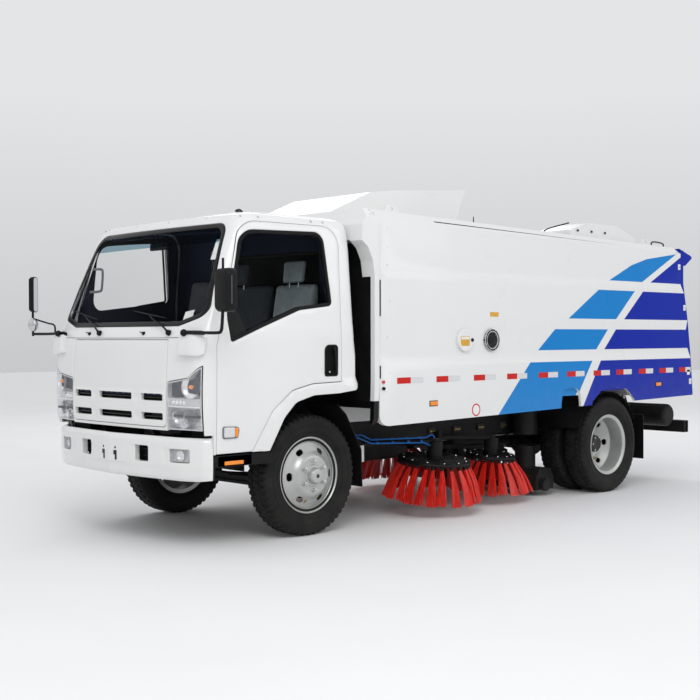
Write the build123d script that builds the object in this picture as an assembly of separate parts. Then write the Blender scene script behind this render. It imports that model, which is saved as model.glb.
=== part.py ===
from build123d import *
import math
import os

# ---------------------------------------------------------------------------
# Street sweeper truck.  Millimetres.  +X forward, +Y left, +Z up.
# Origin: on the ground, under the middle of the outline box.
# ---------------------------------------------------------------------------

# ---- driving dimensions ----------------------------------------------------
WHEELBASE = 3815.0
XF = 2100.0                 # front axle line
XR = XF - WHEELBASE         # rear axle line (-1715)
R_TYRE = 466.0              # loaded height of the 8.25-20 tyre
W_TYRE = 234.0              # tyre section
R_FLANGE = 295.0            # outer edge of the 20 inch rim flange
Y_FRONT = 840.0             # front tyre centre
Y_REAR_OUT = 973.0          # outer tyre of the rear twin
Y_REAR_IN = 677.0           # inner tyre of the rear twin
Y_KING = 690.0              # kingpin
STEER = 35.0

RAIL_Y = 425.0              # outer face of a frame rail
RAIL_W = 65.0
RAIL_H = 200.0
RAIL_T = 8.0
RAIL_TOP = 800.0
RAIL_X0, RAIL_X1 = -3164.0, 3120.0

TILT_X, TILT_Z = 3150.0, 868.0      # cab tilt axis
DOOR_HX, DOOR_HY = 3040.0, 1014.0    # door hinge line
LID_X, LID_Z = 3229.0, 1514.0       # front lid hinge line

SIDE_Y = 1100.0             # hopper side plane
HOP_FRONT, HOP_REAR = 1488.0, -3038.0
HOP_PIV_X, HOP_PIV_Z = -2960.0, 868.0
RD_X, RD_Z = -3046.0, 2492.0        # rear door hinge line
HOIST_B = (-1180.0, 700.0)          # hoist foot pin, x z
HOIST_R = (330.0, 905.0)            # hoist rod eye, x z
HOIST_Y = 300.0

G = 7.0                     # shut-line gap


# ---- helpers ----------------------------------------------------------------
def wire2(pts, plane):
    """Closed wire from (a, b[, r]) corners; r rounds the corner with an arc."""
    n = len(pts)
    P = [(p[0], p[1], (p[2] if len(p) > 2 else 0.0)) for p in pts]
    segs = []
    for i in range(n):
        a, b, c = P[i - 1], P[i], P[(i + 1) % n]
        if b[2] <= 0:
            segs.append(((b[0], b[1]), None, (b[0], b[1])))
            continue
        ux, uy = a[0] - b[0], a[1] - b[1]
        vx, vy = c[0] - b[0], c[1] - b[1]
        lu, lv = math.hypot(ux, uy), math.hypot(vx, vy)
        ux, uy, vx, vy = ux / lu, uy / lu, vx / lv, vy / lv
        cosang = max(-1.0, min(1.0, ux * vx + uy * vy))
        half = math.acos(cosang) / 2
        t = b[2] / math.tan(half)
        t = min(t, 0.49 * lu, 0.49 * lv)
        r = t * math.tan(half)
        s = (b[0] + ux * t, b[1] + uy * t)
        e = (b[0] + vx * t, b[1] + vy * t)
        bx, by = ux + vx, uy + vy
        lb = math.hypot(bx, by)
        d = r / math.sin(half)
        cx, cy = b[0] + bx / lb * d, b[1] + by / lb * d
        m = (cx - bx / lb * r, cy - by / lb * r)
        segs.append((s, m, e))
    edges = []
    for i in range(n):
        s, m, e = segs[i]
        if m is not None:
            edges.append(Edge.make_three_point_arc(
                plane.from_local_coords((s[0], s[1], 0)),
                plane.from_local_coords((m[0], m[1], 0)),
                plane.from_local_coords((e[0], e[1], 0))))
        nx = segs[(i + 1) % n][0]
        if math.hypot(nx[0] - e[0], nx[1] - e[1]) > 1e-6:
            edges.append(Edge.make_line(plane.from_local_coords((e[0], e[1], 0)),
                                        plane.from_local_coords((nx[0], nx[1], 0))))
    return Wire(edges)


def PXZ(y):     # local (a, b) = (x, z), normal -Y
    return Plane(origin=(0, y, 0), x_dir=(1, 0, 0), z_dir=(0, -1, 0))


def PYZ(x):     # local (a, b) = (y, z), normal +X
    return Plane(origin=(x, 0, 0), x_dir=(0, 1, 0), z_dir=(1, 0, 0))


def PXY(z):
    return Plane(origin=(0, 0, z), x_dir=(1, 0, 0), z_dir=(0, 0, 1))


def sxz(pts, y0, y1):
    """Solid: an x-z outline from y0 to y1."""
    y0, y1 = min(y0, y1), max(y0, y1)
    return Solid.extrude(Face(wire2(pts, PXZ(y0))), Vector(0, y1 - y0, 0))


def syz(pts, x0, x1):
    return Solid.extrude(Face(wire2(pts, PYZ(x0))), Vector(x1 - x0, 0, 0))


def sxy(pts, z0, z1):
    return Solid.extrude(Face(wire2(pts, PXY(z0))), Vector(0, 0, z1 - z0))


def box(x0, x1, y0, y1, z0, z1):
    return Solid.make_box(abs(x1 - x0), abs(y1 - y0), abs(z1 - z0),
                          Plane(origin=(min(x0, x1), min(y0, y1), min(z0, z1))))


def cyl(p, q, r):
    """Cylinder of radius r from point p to point q."""
    p, q = Vector(*p), Vector(*q)
    d = q - p
    return Solid.make_cylinder(r, d.length, Plane(origin=p, z_dir=d.normalized()))


def ring_y(x, z, y0, y1, r_in, r_out):
    y0, y1 = min(y0, y1), max(y0, y1)
    return cyl((x, y0, z), (x, y1, z), r_out) - cyl((x, y0 - 1, z), (x, y1 + 1, z), r_in)


def turn_y(profile, x, z):
    """Solid of revolution about a Y axis at (x, z); profile is (radius, y[, r])."""
    pl = Plane(origin=(x, 0, z), x_dir=(1, 0, 0), z_dir=(0, 0, 1))   # local x = radius, y = Y
    f = Face(wire2(profile, pl))
    return Solid.revolve(f, 360, Axis((x, 0, z), (0, 1, 0)))


def turn_z(profile, x, y):
    """Solid of revolution about a Z axis at (x, y); profile is (radius, z[, r])."""
    pl = Plane(origin=(x, y, 0), x_dir=(1, 0, 0), z_dir=(0, -1, 0))
    f = Face(wire2(profile, pl))
    return Solid.revolve(f, 360, Axis((x, y, 0), (0, 0, 1)))


def rounded(s, r, sel):
    """Rounds the edges chosen by sel; leaves the solid as it is if none."""
    e = [k for k in s.edges() if sel(k)]
    return s.fillet(r, e) if e else s


def my(s):
    """Mirror image across the y = 0 plane."""
    return s.mirror(Plane.XZ)


def both(s):
    return [s, my(s)]


def fuse(items):
    items = list(items)
    a = items[0]
    for b in items[1:]:
        a = a + b
    return a


def solids_of(s):
    if isinstance(s, (list, tuple, ShapeList)):
        out = []
        for k in s:
            out += solids_of(k)
        return out
    return list(s.solids())


os.makedirs("parts", exist_ok=True)


def save(name, *items):
    sol = solids_of(list(items))
    sol = [k for k in sol if k.volume > 20.0]
    shape = sol[0] if len(sol) == 1 else Compound(children=sol)
    shape.label = name
    export_step(shape, "parts/" + name + ".step")
    print("%-22s solids %2d  vol %8.4f m3" % (name, len(sol), sum(k.volume for k in sol) / 1e9))


def hose(points, r, bend):
    """Round hose along straight runs joined by arcs."""
    path = FilletPolyline(*points, radius=bend)
    d = (Vector(*points[1]) - Vector(*points[0])).normalized()
    start = Plane(origin=points[0], z_dir=d)
    return sweep(start * Circle(r), path=path).solid()


# ===========================================================================
# CHASSIS FRAME
# ===========================================================================
def rail():
    y1, y0 = RAIL_Y, RAIL_Y - RAIL_W
    z1, z0 = RAIL_TOP, RAIL_TOP - RAIL_H
    c = syz([(y0, z0), (y1, z0), (y1, z1), (y0, z1),
             (y0, z1 - RAIL_T), (y1 - RAIL_T, z1 - RAIL_T),
             (y1 - RAIL_T, z0 + RAIL_T), (y0, z0 + RAIL_T)], RAIL_X0, RAIL_X1)
    return c


CROSS = [  # x, section length along x, z0, z1
    (3075.0, 70.0, 640.0, 760.0),
    (1250.0, 60.0, 712.0, 772.0),
    (200.0, 60.0, 640.0, 760.0),
    (-1330.0, 60.0, 660.0, 770.0),
    (-2430.0, 60.0, 640.0, 760.0),
    (-3134.0, 60.0, 620.0, 780.0),
]
frame = fuse([rail(), my(rail())])
for x, w, z0, z1 in CROSS:
    frame = frame + box(x - w / 2, x + w / 2, -(RAIL_Y - RAIL_T), RAIL_Y - RAIL_T, z0, z1)
# cab tilt brackets, standing on the rails' front ends
for s in (1, -1):
    br = sxz([(3060, 795), (3120, 795), (3172, TILT_Z, 20), (3150, TILT_Z + 24, 12), (3126, TILT_Z, 12)],
             s * 330, s * 350) + box(3060, 3120, s * 330, s * 420, 792, 806)
    br = br - cyl((TILT_X, s * 320, TILT_Z), (TILT_X, s * 360, TILT_Z), 12.05)
    frame = frame + br
# hopper pivot brackets: a pair of plates on each rail's rear end
for s in (1, -1):
    for y in (372.0, 412.0):
        pl = sxz([(HOP_PIV_X - 80, 792), (HOP_PIV_X + 80, 792), (HOP_PIV_X + 36, HOP_PIV_Z + 10, 20),
                  (HOP_PIV_X, HOP_PIV_Z + 34, 20), (HOP_PIV_X - 36, HOP_PIV_Z + 10, 20)], s * y, s * (y + 10))
        frame = frame + (pl - cyl((HOP_PIV_X, s * y - 20, HOP_PIV_Z), (HOP_PIV_X, s * y + 20, HOP_PIV_Z), 20.05))
# hoist foot brackets on a crossmember
frame = frame + box(HOIST_B[0] - 30, HOIST_B[0] + 30, -417, 417, 610, 640)
for s in (1, -1):
    for y in (HOIST_Y - 50, HOIST_Y + 38):
        lug = sxz([(HOIST_B[0] - 30, 630), (HOIST_B[0] + 30, 630), (HOIST_B[0] + 22, HOIST_B[1] + 18, 14),
                   (HOIST_B[0] - 22, HOIST_B[1] + 18, 14)], s * y, s * (y + 12))
        frame = frame + (lug - cyl((HOIST_B[0], s * y - 20, HOIST_B[1]), (HOIST_B[0], s * y + 20, HOIST_B[1]), 18.05))
# front tow eyes
for s in (1, -1):
    eye = sxz([(3110, 640), (3195, 640, 20), (3195, 700, 20), (3110, 700)], s * 372, s * 392)
    frame = frame + (eye - cyl((3168, s * 360, 670), (3168, s * 400, 670), 16.0))
# outriggers that carry the suction gear and the brush arms
ARM_F = (1180.0, 470.0)     # swing pin of a front brush arm, x y
ARM_R = (110.0, 470.0)      # swing pin of a rear brush arm
for s in (1, -1):
    for ax, ay in (ARM_F, ARM_R):
        for z0, z1 in ((560.0, 575.0), (650.0, 665.0)):
            lug = sxy([(ax - 45, s * (RAIL_Y - 2)), (ax + 45, s * (RAIL_Y - 2)), (ax + 30, s * (ay + 26), 16),
                       (ax - 30, s * (ay + 26), 16)], z0, z1)
            frame = frame + (lug - cyl((ax, s * ay, z0 - 5), (ax, s * ay, z1 + 5), 15.05))
        frame = frame + box(ax - 45, ax + 45, s * (RAIL_Y - 20), s * (RAIL_Y + 2), 560, 665)
# suction gear hangers
SUC_X, SUC_Z = 330.0, 524.0
for s in (1, -1):
    frame = frame + box(SUC_X - 30, SUC_X + 30, s * 340, s * 400, 606, 616)
    for y in (340.0, 380.0):
        h = sxz([(SUC_X - 30, 612), (SUC_X + 30, 612), (SUC_X + 24, SUC_Z - 8, 18), (SUC_X - 24, SUC_Z - 8, 18)],
                s * y, s * (y + 10))
        frame = frame + (h - cyl((SUC_X, s * y - 15, SUC_Z + 16), (SUC_X, s * y + 15, SUC_Z + 16), 12.05))
# the two side members, and the cross members that sit between them
in_y = RAIL_Y - RAIL_W - 1.0
middle = frame & box(-4000, 4000, -in_y, in_y, 0, 1500)
save("frame_rails", [frame & box(-4000, 4000, s * in_y, s * 1500, 0, 1500) for s in (1, -1)])
save("cross_members", [k for k in middle.solids() if k.volume > 2000])
SUC_PZ = SUC_Z + 16

# ---- front axle -------------------------------------------------------------
KP_R = 18.0
beam = syz([(-652, 419.9), (-600, 372), (-560, 330), (560, 330), (600, 372), (652, 419.9), (Y_KING + 30, 420, 10), (Y_KING + 30, 512, 10),
            (Y_KING - 30, 512, 10), (590, 440, 30), (540, 408, 30), (-540, 408, 30), (-590, 440, 30),
            (-(Y_KING - 30), 512, 10), (-(Y_KING + 30), 512, 10), (-(Y_KING + 30), 420, 10)],
           XF - 38, XF + 38)
beam = beam - box(XF - 60, XF - 12, -540, 540, 352, 390) - box(XF + 12, XF + 60, -540, 540, 352, 390)
for s in (1, -1):
    beam = beam - (box(XF - 60, XF + 60, s * (Y_KING + 2), s * (Y_KING + 50), 300, 600) - cyl((XF, s * Y_KING, 290), (XF, s * Y_KING, 610), 30))
    beam = beam - cyl((XF, s * Y_KING, 300), (XF, s * Y_KING, 600), KP_R + 0.05)
    beam = beam + box(XF - 60, XF + 60, s * 350, s * 430, 405, 421)      # spring seat
save("front_axle", beam)

# ---- leaf springs: arched packs, front and rear, with shackles ---------------
SPR_Y = 390.0


def leaf_pack(xc, half, z_eye, z_mid, n, t, w, y):
    items = []
    for i in range(n):
        h = half * (1 - 0.15 * i)
        sag = (z_eye - z_mid) * (h / half) ** 2
        z0 = z_mid - i * (t - 1.0)
        top = Edge.make_three_point_arc((xc - h, y, z0 + sag), (xc, y, z0), (xc + h, y, z0 + sag))
        bot = Edge.make_three_point_arc((xc + h, y, z0 + sag - t), (xc, y, z0 - t), (xc - h, y, z0 + sag - t))
        e1 = Edge.make_line((xc + h, y, z0 + sag), (xc + h, y, z0 + sag - t))
        e2 = Edge.make_line((xc - h, y, z0 + sag - t), (xc - h, y, z0 + sag))
        items.append(Solid.extrude(Face(Wire([top, e1, bot, e2])), Vector(0, w, 0)))
    p = fuse(items)
    for sx in (-1, 1):
        p = p + cyl((xc + sx * half, y, z_eye - t / 2), (xc + sx * half, y + w, z_eye - t / 2), 20)
        p = p + box(xc + sx * half - 18, xc + sx * half + 18, y + w - 1, y + w + 11, z_eye - 25, RAIL_TOP - RAIL_H - 1)
    return p


sp = []
for s in (1, -1):
    y0 = SPR_Y - 35
    f = leaf_pack(XF, 560, 520, 455, 3, 10, 60, y0)
    r = leaf_pack(XR, 620, 574, 592, 6, 11, 60, y0)
    sp += [f if s > 0 else my(f), r if s > 0 else my(r)]
save("leaf_springs", sp)

# ---- rear axle --------------------------------------------------------------
ra = cyl((XR, -560, R_TYRE), (XR, 560, R_TYRE), 58)
diff = Solid.make_sphere(188, Plane(origin=(XR, 60, R_TYRE)), -90, 90, 360)
diff = diff & box(XR - 240, XR + 240, -60, 175, 200, 800)
ra = ra + diff
ra = ra + cyl((XR + 150, 60, R_TYRE), (XR + 300, 60, R_TYRE), 62)
for s in (1, -1):
    ra = ra + box(XR - 60, XR + 60, s * 352, s * 418, R_TYRE, 526)
    ra = ra + cyl((XR, s * 540, R_TYRE), (XR, s * 900, R_TYRE), 42)
    ra = ra + cyl((XR, s * 558, R_TYRE), (XR, s * 572, R_TYRE), 120)
save("rear_axle", ra)

# ---- propeller shaft --------------------------------------------------------
ps = cyl((1326, 30, 640), (XR + 304, 60, R_TYRE + 2), 45)
ps = ps + cyl((1327, 30, 640), (1290, 30.4, 637.5), 68)
save("propeller_shaft", ps)

# ---- engine and gearbox, one plain block --------------------------------------
eng = sxz([(2820, 640), (2820, 900, 30), (2525, 900), (2525, 1095, 30), (2080, 1095, 30), (2020, 860), (1332, 780, 20), (1332, 560, 20),
           (1990, 540), (2350, 500, 40), (2780, 520, 40)], -255, 255)
eng = eng - box(XF - 90, XF + 90, -300, 300, 380, 560)
save("engine_block", eng)

# ---- front bumper: a curved steel shell ---------------------------------------
BUMP = [  # z, top/bottom set-back of the outer face
    (500.0, 14.0), (530.0, 0.0), (770.0, 0.0), (812.0, 26.0)]


def bumper_plan(off, grow=0.0):
    """Plan outline of the bumper's outer face, moved back by off."""
    o = off
    half = [(3305 - o, 0), (3274 - o, 380), (3225 - o, 790), (3150 - o * 0.8, 975 - o * 0.8), (3086, 1012 - o)]
    return half


def bumper_shell(off, z0, z1):
    h = bumper_plan(off)
    pts = [(x, y) for x, y in h] + [(3086, 0)]
    pts = [(h[0][0], 0)] + [(h[1][0], h[1][1])] + [(h[2][0], h[2][1], 120)] + [(h[3][0], h[3][1], 60)] + [h[4], (3086, -h[4][1])] + \
          [(h[3][0], -h[3][1], 60), (h[2][0], -h[2][1], 120), (h[1][0], -h[1][1])]
    return sxy(pts, z0, z1)


bo = bumper_shell(0, 540, 790) + bumper_shell(16, 500, 541) + bumper_shell(16, 789, 812)
bi = bumper_shell(38, 516, 780) - box(3000, 3400, -1100, 1100, 400, 515)
bi = bi + (bumper_shell(52, 700, 830)) + bumper_shell(52, 480, 560)
bump = bo - bi
bump = bump - box(3080, 3200, -860, 860, 480, 560) - box(3060, 3210, -930, 930, 700, 830)
for s in (1, -1):
    # end pieces rise: trim the lower outer corners, cut the lamp and air openings
    bump = bump - box(3200, 3400, s * 300, s * 462, 618, 742)
    bump = bump - box(3150, 3400, s * 708, s * 872, 628, 732)
bump = bump + box(3262, 3290, -190, 190, 596, 724)
# stays back to the rails
for s in (1, -1):
    bump = bump + (box(3119.5, 3262, s * 480, s * 500, 640, 700) + box(3119.5, 3132, s * 430, s * 500, 640, 700)) \
        + box(3060, 3132, s * 425.2, s * 437, 640, 700)
save("front_bumper", bump)

# ---- lamps carried by the chassis: fog lamps, rear lamps -----------------------
lamps = []
for s in (1, -1):
    fog = box(3186, 3212, s * 712, s * 868, 632, 728)
    lamps.append(fog)
    lamps.append(box(-3264, -3302, s * 640, s * 990, 500, 625))
save("chassis_lamps", lamps)

# ---- mudguards ------------------------------------------------------------------
mg = []
MG_F = [(1828, 996), (1736, 915), (1662, 790), (1570, 626), (1560, 330), (1552, 330), (1561, 628), (1654, 794), (1729, 921), (1822, 1003)]
# rear guards: an arch over each twin, hung from the rails
RG_R = R_TYRE + 52
for s in (1, -1):
    g = sxz(MG_F, s * 560, s * 955)
    g = g + box(1575, 1612, s * 425, s * 575, 690, 712) + box(1575, 1612, s * 560, s * 600, 690, 712)
    mg.append(g)
    arch = ring_y(XR, R_TYRE, s * 536, s * 1060, RG_R, RG_R + 5) & \
        sxz([(XR - 700, 700), (XR - 700, 1200), (XR + 700, 1200), (XR + 700, 640)], s * 530, s * 1062)
    arch = arch + box(XR - 20, XR + 20, s * 425, s * 551, RAIL_TOP - 90, RAIL_TOP - 30) \
        + box(XR - 20, XR + 20, s * 536, s * 551, RAIL_TOP - 90, R_TYRE + RG_R + 2)
    mg.append(arch)
    flap = box(-2352, -2344, s * 600, s * 1060, 280, 700) + box(-2356, -2340, s * 425, s * 1060, 690, 730)
    mg.append(flap)
save("mudguards", mg)

# ---- fuel tank, right side behind the cab -------------------------------------
ft = syz([(-1030, 690, 50), (-1030, 400, 50), (-560, 400, 50), (-560, 690, 50)], 1165, 1500)
for x in (1240, 1430):
    ft = ft + box(x, x + 40, -425, -1036, 690, 702) + box(x, x + 40, -425, -440, 620, 702)
ft = ft + cyl((1440, -980, 688), (1440, -980, 716), 40)
save("fuel_tank", ft)

# ---- air tanks across the rear, with their straps -------------------------------
at = rounded(cyl((-3000, -960, 690), (-3000, -480, 690), 118), 40, lambda e: e.geom_type == GeomType.CIRCLE)
at2 = my(at)
bar = box(-3012, -2988, -960, -425, 809, 821) + box(-3012, -2988, -700, -690, 790, 815)
save("air_tanks", at + box(-3020, -2980, -520, -425, 640, 760), at2 + box(-3020, -2980, 425, 520, 640, 760))

# ---- water and oil tanks slung under the rails, either side of the propeller shaft ----
ut = []
for s in (1, -1):
    for x0, x1, z0 in ((390.0, 1050.0, 440.0), (-850.0, -240.0, 480.0)):
        if s < 0 and x0 > 0:
            continue
        t = syz([(s * 130, z0, 25), (s * 335, z0, 25), (s * 335, 585, 25), (s * 130, 585, 25)], x0, x1)
        for x in (x0 + 80, x1 - 120):
            t = t + box(x, x + 40, s * 128, s * 380, 586, 599.9) + box(x, x + 40, s * 128, s * 337, 575, 590)
        ut.append(t)
save("under_tanks", ut)

# ---- silencer and tail pipe ------------------------------------------------------
mu = cyl((900, -150, 515), (200, -150, 515), 95)
mu = mu + cyl((880, -150, 530), (1322, -150, 530), 34) + cyl((220, -150, 515), (-200, -150, 515), 34)
mu = mu + box(540, 580, -170, -130, 590, 632) + box(540, 580, -360, -130, 612, 632)
save("silencer", mu)

# ---- rear underrun bar --------------------------------------------------------------
ub = box(-3264, -3181, -1030, 1030, 500, 625) - box(-3256, -3189, -1040, 1040, 508, 617) + box(-3230, -3210, -1020, 1020, 508, 617)
for s in (1, -1):
    ub = ub + box(-3182, -3060, s * 425, s * 437, 520, 780)
save("rear_underrun", ub)

# ---- front housing behind the cab: arch, top fairing, screen -------------------------
HX0, HX1 = 1503.0, 1555.0
ar = syz([(-1085, 820, 80), (1085, 820, 80), (1100, 1200, 60), (1100, 2470, 60), (960, 2560, 60), (-960, 2560, 60),
          (-1100, 2470, 60), (-1100, 1200, 60)], HX0, HX1)
ar = ar - syz([(-1040, 780, 10), (1040, 780, 10), (1055, 1200, 60), (1055, 2440, 60), (940, 2520, 60), (-940, 2520, 60),
               (-1055, 2440, 60), (-1055, 1200, 60)], HX0 - 5, HX1 + 5)
fair = sxz([(HX1 - 2, 2562), (HX1 - 2, 2010), (HX1 + 18, 2140, 60), (HX1 + 70, 2240, 80), (1694, 2292), (1689, 2425, 20), (1640, 2470, 60)],
           -1100, 1100)
fair = fair & syz([(-1100, 1900), (1100, 1900), (1100, 2470, 60), (960, 2562, 60), (-960, 2562, 60), (-1100, 2470, 60)], 1500, 1720)
fair = fair - (sxz([(HX1 - 5, 2520), (HX1 - 5, 1990), (HX1 + 10, 2140), (HX1 + 40, 2215), (1660, 2300), (1650, 2410)], -1055, 1055))
fair = fair - box(HX1 - 5, 1720, -960, 960, 1900, 2300)
ar = ar + fair
ar = ar + box(HX0, HX0 + 12, -1056, 1056, 2290, 2525) + box(HX0, HX0 + 40, -1056, 1056, 960, 1000)
for s in (1, -1):
    ar = ar + box(HX0, HX1 - 10, s * 360, s * 425, 800.2, 965)
save("engine_housing", ar)
scr = box(HX0 + 2, HX0 + 32, -1030, 1030, 1002, 2288)
save("housing_screen", scr)

# ---- auxiliary engine, one plain block -------------------------------------------
aux = sxz([(860, 812), (1440, 812), (1440, 1500, 40), (1300, 1620, 40), (860, 1620, 40)], -340, 340)
aux = aux + box(880, 940, -362, 362, RAIL_TOP, 813) + box(1360, 1420, -362, 362, RAIL_TOP, 813)
save("auxiliary_engine", aux)

# ---- suction tubes fixed to the frame ----------------------------------------------
st = []
for s in (1, -1):
    t = cyl((-1045, s * 560, 580), (-1045, s * 560, 930), 122) - cyl((-1045, s * 560, 500), (-1045, s * 560, 1000), 112)
    t = t + (box(-1075, -1015, s * 425, s * 470, 690, 740) + box(-1060, -1030, s * 425, s * 452, 700, 730))
    st.append(t - cyl((-1045, s * 560, 500), (-1045, s * 560, 1000), 112))
save("suction_tubes", st)

# ===========================================================================
# CAB
# ===========================================================================
CAB = [  # z, front centre x, front shoulder x, shoulder y, half width, corner r, rear x
    (690.0, 3205.0, 3190.0, 640.0, 1006.0, 95.0, 1668.0),
    (860.0, 3245.0, 3224.0, 640.0, 1012.0, 100.0, 1665.0),
    (1110.0, 3250.0, 3228.0, 640.0, 1018.0, 105.0, 1660.0),
    (1515.0, 3226.0, 3208.0, 640.0, 1020.0, 110.0, 1680.0),
    (1612.0, 3186.0, 3172.0, 640.0, 1014.0, 120.0, 1685.0),
    (2375.0, 2858.0, 2836.0, 600.0, 972.0, 130.0, 1722.0),
    (2432.0, 2812.0, 2790.0, 600.0, 945.0, 140.0, 1745.0),
    (2470.0, 2640.0, 2610.0, 520.0, 800.0, 150.0, 1860.0),
]


def cab_section(row, d, z=None):
    zz, xf, xs, ys, yh, r, xr = row
    zz = zz if z is None else z
    xf, xs, yh, xr = xf - d, xs - d, yh - d, xr + d
    r = max(r - d, 20)
    p = [(xf, 0), (xs, ys), (xs - (yh - ys) * 0.07, yh, r), (xr, yh, 40), (xr, -yh, 40),
         (xs - (yh - ys) * 0.07, -yh, r), (xs, -ys)]
    return wire2(p, PXY(zz))


def cab_loft(d, d_top=None):
    """The cab's outer form, moved in by d all round (and by d_top at the roof)."""
    dt = d if d_top is None else d_top
    rows = []
    for k, row in enumerate(CAB):
        z = row[0]
        if k >= 5:
            z = z - dt
        if k == 0 and d > 0:
            z = z - 20
        rows.append(cab_section(row, d, z))
    return Solid.make_loft(rows, True)


outer = cab_loft(0)
inner = cab_loft(46, 46)
shell = outer - inner
skin = outer - cab_loft(9, 9)                 # glass and thin panels follow the form
deep = cab_loft(12, 12) - cab_loft(18, 18)

ARCH = [(2570, 600), (2570, 689), (2433, 931, 160), (2319, 1041, 120), (2138, 1087, 200), (1871, 1094, 200), (1600, 1114), (1600, 600)]
DOOR = [(3055, 690, 30), (3055, 1480, 60), (2796, 2388, 70), (1837, 2394, 130), (1837, 1180, 10), (2140, 1172, 200),
        (2345, 1128, 140), (2530, 985, 140), (2722, 690, 10)]
WIN = [(2804, 2316, 60), (2003, 2339, 60), (1927, 1773, 40), (2260, 1735, 200), (2640, 1600, 200), (2925, 1492, 20), (2959, 1699, 200)]
SCREEN = [(-975, 1688, 40), (-712, 1612, 60), (712, 1612, 60), (975, 1688, 40), (855, 2376, 60), (-855, 2376, 60)]
LID = [(-640, 882, 40), (640, 882, 40), (640, 1513, 8), (-640, 1513, 8)]


def grow(pts, g):
    """Outline moved outward by g (miter offset of a convex-ish outline)."""
    n = len(pts)
    area = sum(pts[i][0] * pts[(i + 1) % n][1] - pts[(i + 1) % n][0] * pts[i][1] for i in range(n))
    sg = 1.0 if area > 0 else -1.0
    out = []
    for i in range(n):
        a, b, c = pts[i - 1], pts[i], pts[(i + 1) % n]
        d1 = (b[0] - a[0], b[1] - a[1]); d2 = (c[0] - b[0], c[1] - b[1])
        l1, l2 = math.hypot(*d1), math.hypot(*d2)
        n1 = (d1[1] / l1 * sg, -d1[0] / l1 * sg); n2 = (d2[1] / l2 * sg, -d2[0] / l2 * sg)
        k = 1 + n1[0] * n2[0] + n1[1] * n2[1]
        x, y = b[0] + g * (n1[0] + n2[0]) / k, b[1] + g * (n1[1] + n2[1]) / k
        r = b[2] if len(b) > 2 else 0
        out.append((x, y, max(r + (g if r else 0), 0)))
    return out


cab = shell
# floor: foot well in front, raised over the wheels behind
floor = sxz([(3195, 930), (3195, 975), (2600, 975), (2600, 1180), (1690, 1180), (1690, 1128), (2550, 1128), (2550, 930)],
            -985, 985) & cab_loft(20, 20)
cab = cab + floor
# rear wall and pillars stay; cut away the underside behind the doors
cab = cab - box(1600, 3400, -1100, 1100, 500, 690.5) - box(3079, 3400, -1100, 1100, 500, 853)
cab = cab - sxz(ARCH, -1100, 1100)
cab = cab - box(2550, 3000, -960, 960, 600, 929)
cab = cab - box(1600, 2551, -1100, 1100, 600, 1120)
for s in (1, -1):
    cab = cab - sxz(DOOR, s * 880, s * 1100)
cab = cab - syz(SCREEN, 2700, 3400)
cab = cab - syz([(-644, 878, 44), (644, 878, 44), (644, 1522), (-644, 1522)], 3120, 3400)
# rear window in the cab's back wall
REARWIN = [(-620, 1850, 50), (620, 1850, 50), (620, 2230, 50), (-620, 2230, 50)]
cab = cab - syz(REARWIN, 1600, 1800)
# headlamp openings in the front corners
HLAMP = [(644, 849, 20), (1100, 849), (1100, 1352), (1015, 1352, 20), (880, 1245, 30), (644, 1212, 20)]
for s in (1, -1):
    hl = syz([(s * y, z, *r) for y, z, *r in HLAMP], 3097, 3400)
    cab = cab - hl
# front wall behind the lid and the lamps: lower bulkhead
bulk = syz([(-970, 854, 20), (970, 854, 20), (970, 1480, 20), (-970, 1480, 20)], 3056, 3078) & cab_loft(20, 20)
cab = cab + bulk
# ties from the bulkhead to the strip under the lid
for s in (1, -1):
    cab = cab + (box(3070, 3212, s * 430, s * 636, 853, 872) & outer)
# tilt hinge ears
for s in (1, -1):
    ear = sxz([(3060, 860), (3060, 960), (3110, 960), (3168, 890, 16), (3168, 846, 16), (3130, 846, 16)], s * 356, s * 372)
    ear = ear - cyl((TILT_X, s * 340, TILT_Z), (TILT_X, s * 380, TILT_Z), 12.05)
    cab = cab + ear
save("cab_shell", sorted(cab.solids(), key=lambda k: -k.volume)[0])
for k in cab.solids():
    print("cab piece", round(k.volume / 1e6, 2), k.bounding_box())

ws = skin & syz(grow(SCREEN, -1), 2700, 3400)
rw = (cab_loft(10, 10) - cab_loft(16, 16)) & syz(grow(REARWIN, -0.5), 1600, 1800)
save("cab_glass", sorted(ws.solids(), key=lambda k: -k.volume)[0], rw)

# doors: the cab's own wall inside the door outline, with the window cut
for s, nm in ((1, "left_door"), (-1, "right_door")):
    d = shell & sxz(grow(DOOR, -G), s * 880, s * 1100)
    d = d - sxz(WIN, s * 800, s * 1100)
    d = d - box(1600, 3400, s * 700, s * 1100, 500, 694)
    d = sorted(d.solids(), key=lambda k: -k.volume)[0]
    save(nm, d)
    gl = deep & sxz(grow(WIN, -0.5), s * 800, s * 1100)
    save(nm + "_glass", sorted(gl.solids(), key=lambda k: -k.volume)[0])

# front lid with its slots
lid = (outer - cab_loft(22, 22)) & syz(LID, 3120, 3400)
for z in (1095.0, 955.0):
    for y0, y1 in ((-225, 225), (360, 590), (-590, -360)):
        lid = lid - syz([(y0, z - 22, 12), (y1, z - 22, 12), (y1, z + 22, 12), (y0, z + 22, 12)], 3100, 3400)
save("front_lid", lid)

# headlamps: a wrapped block in each front corner
hls = []
for s in (1, -1):
    hl = (outer - cab_loft(70, 70)) & syz([(s * y, z, *r) for y, z, *r in grow(HLAMP, -2)], 3100, 3400)
    hls.append(sorted(hl.solids(), key=lambda k: -k.volume)[0])
save("headlamps", hls)

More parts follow.
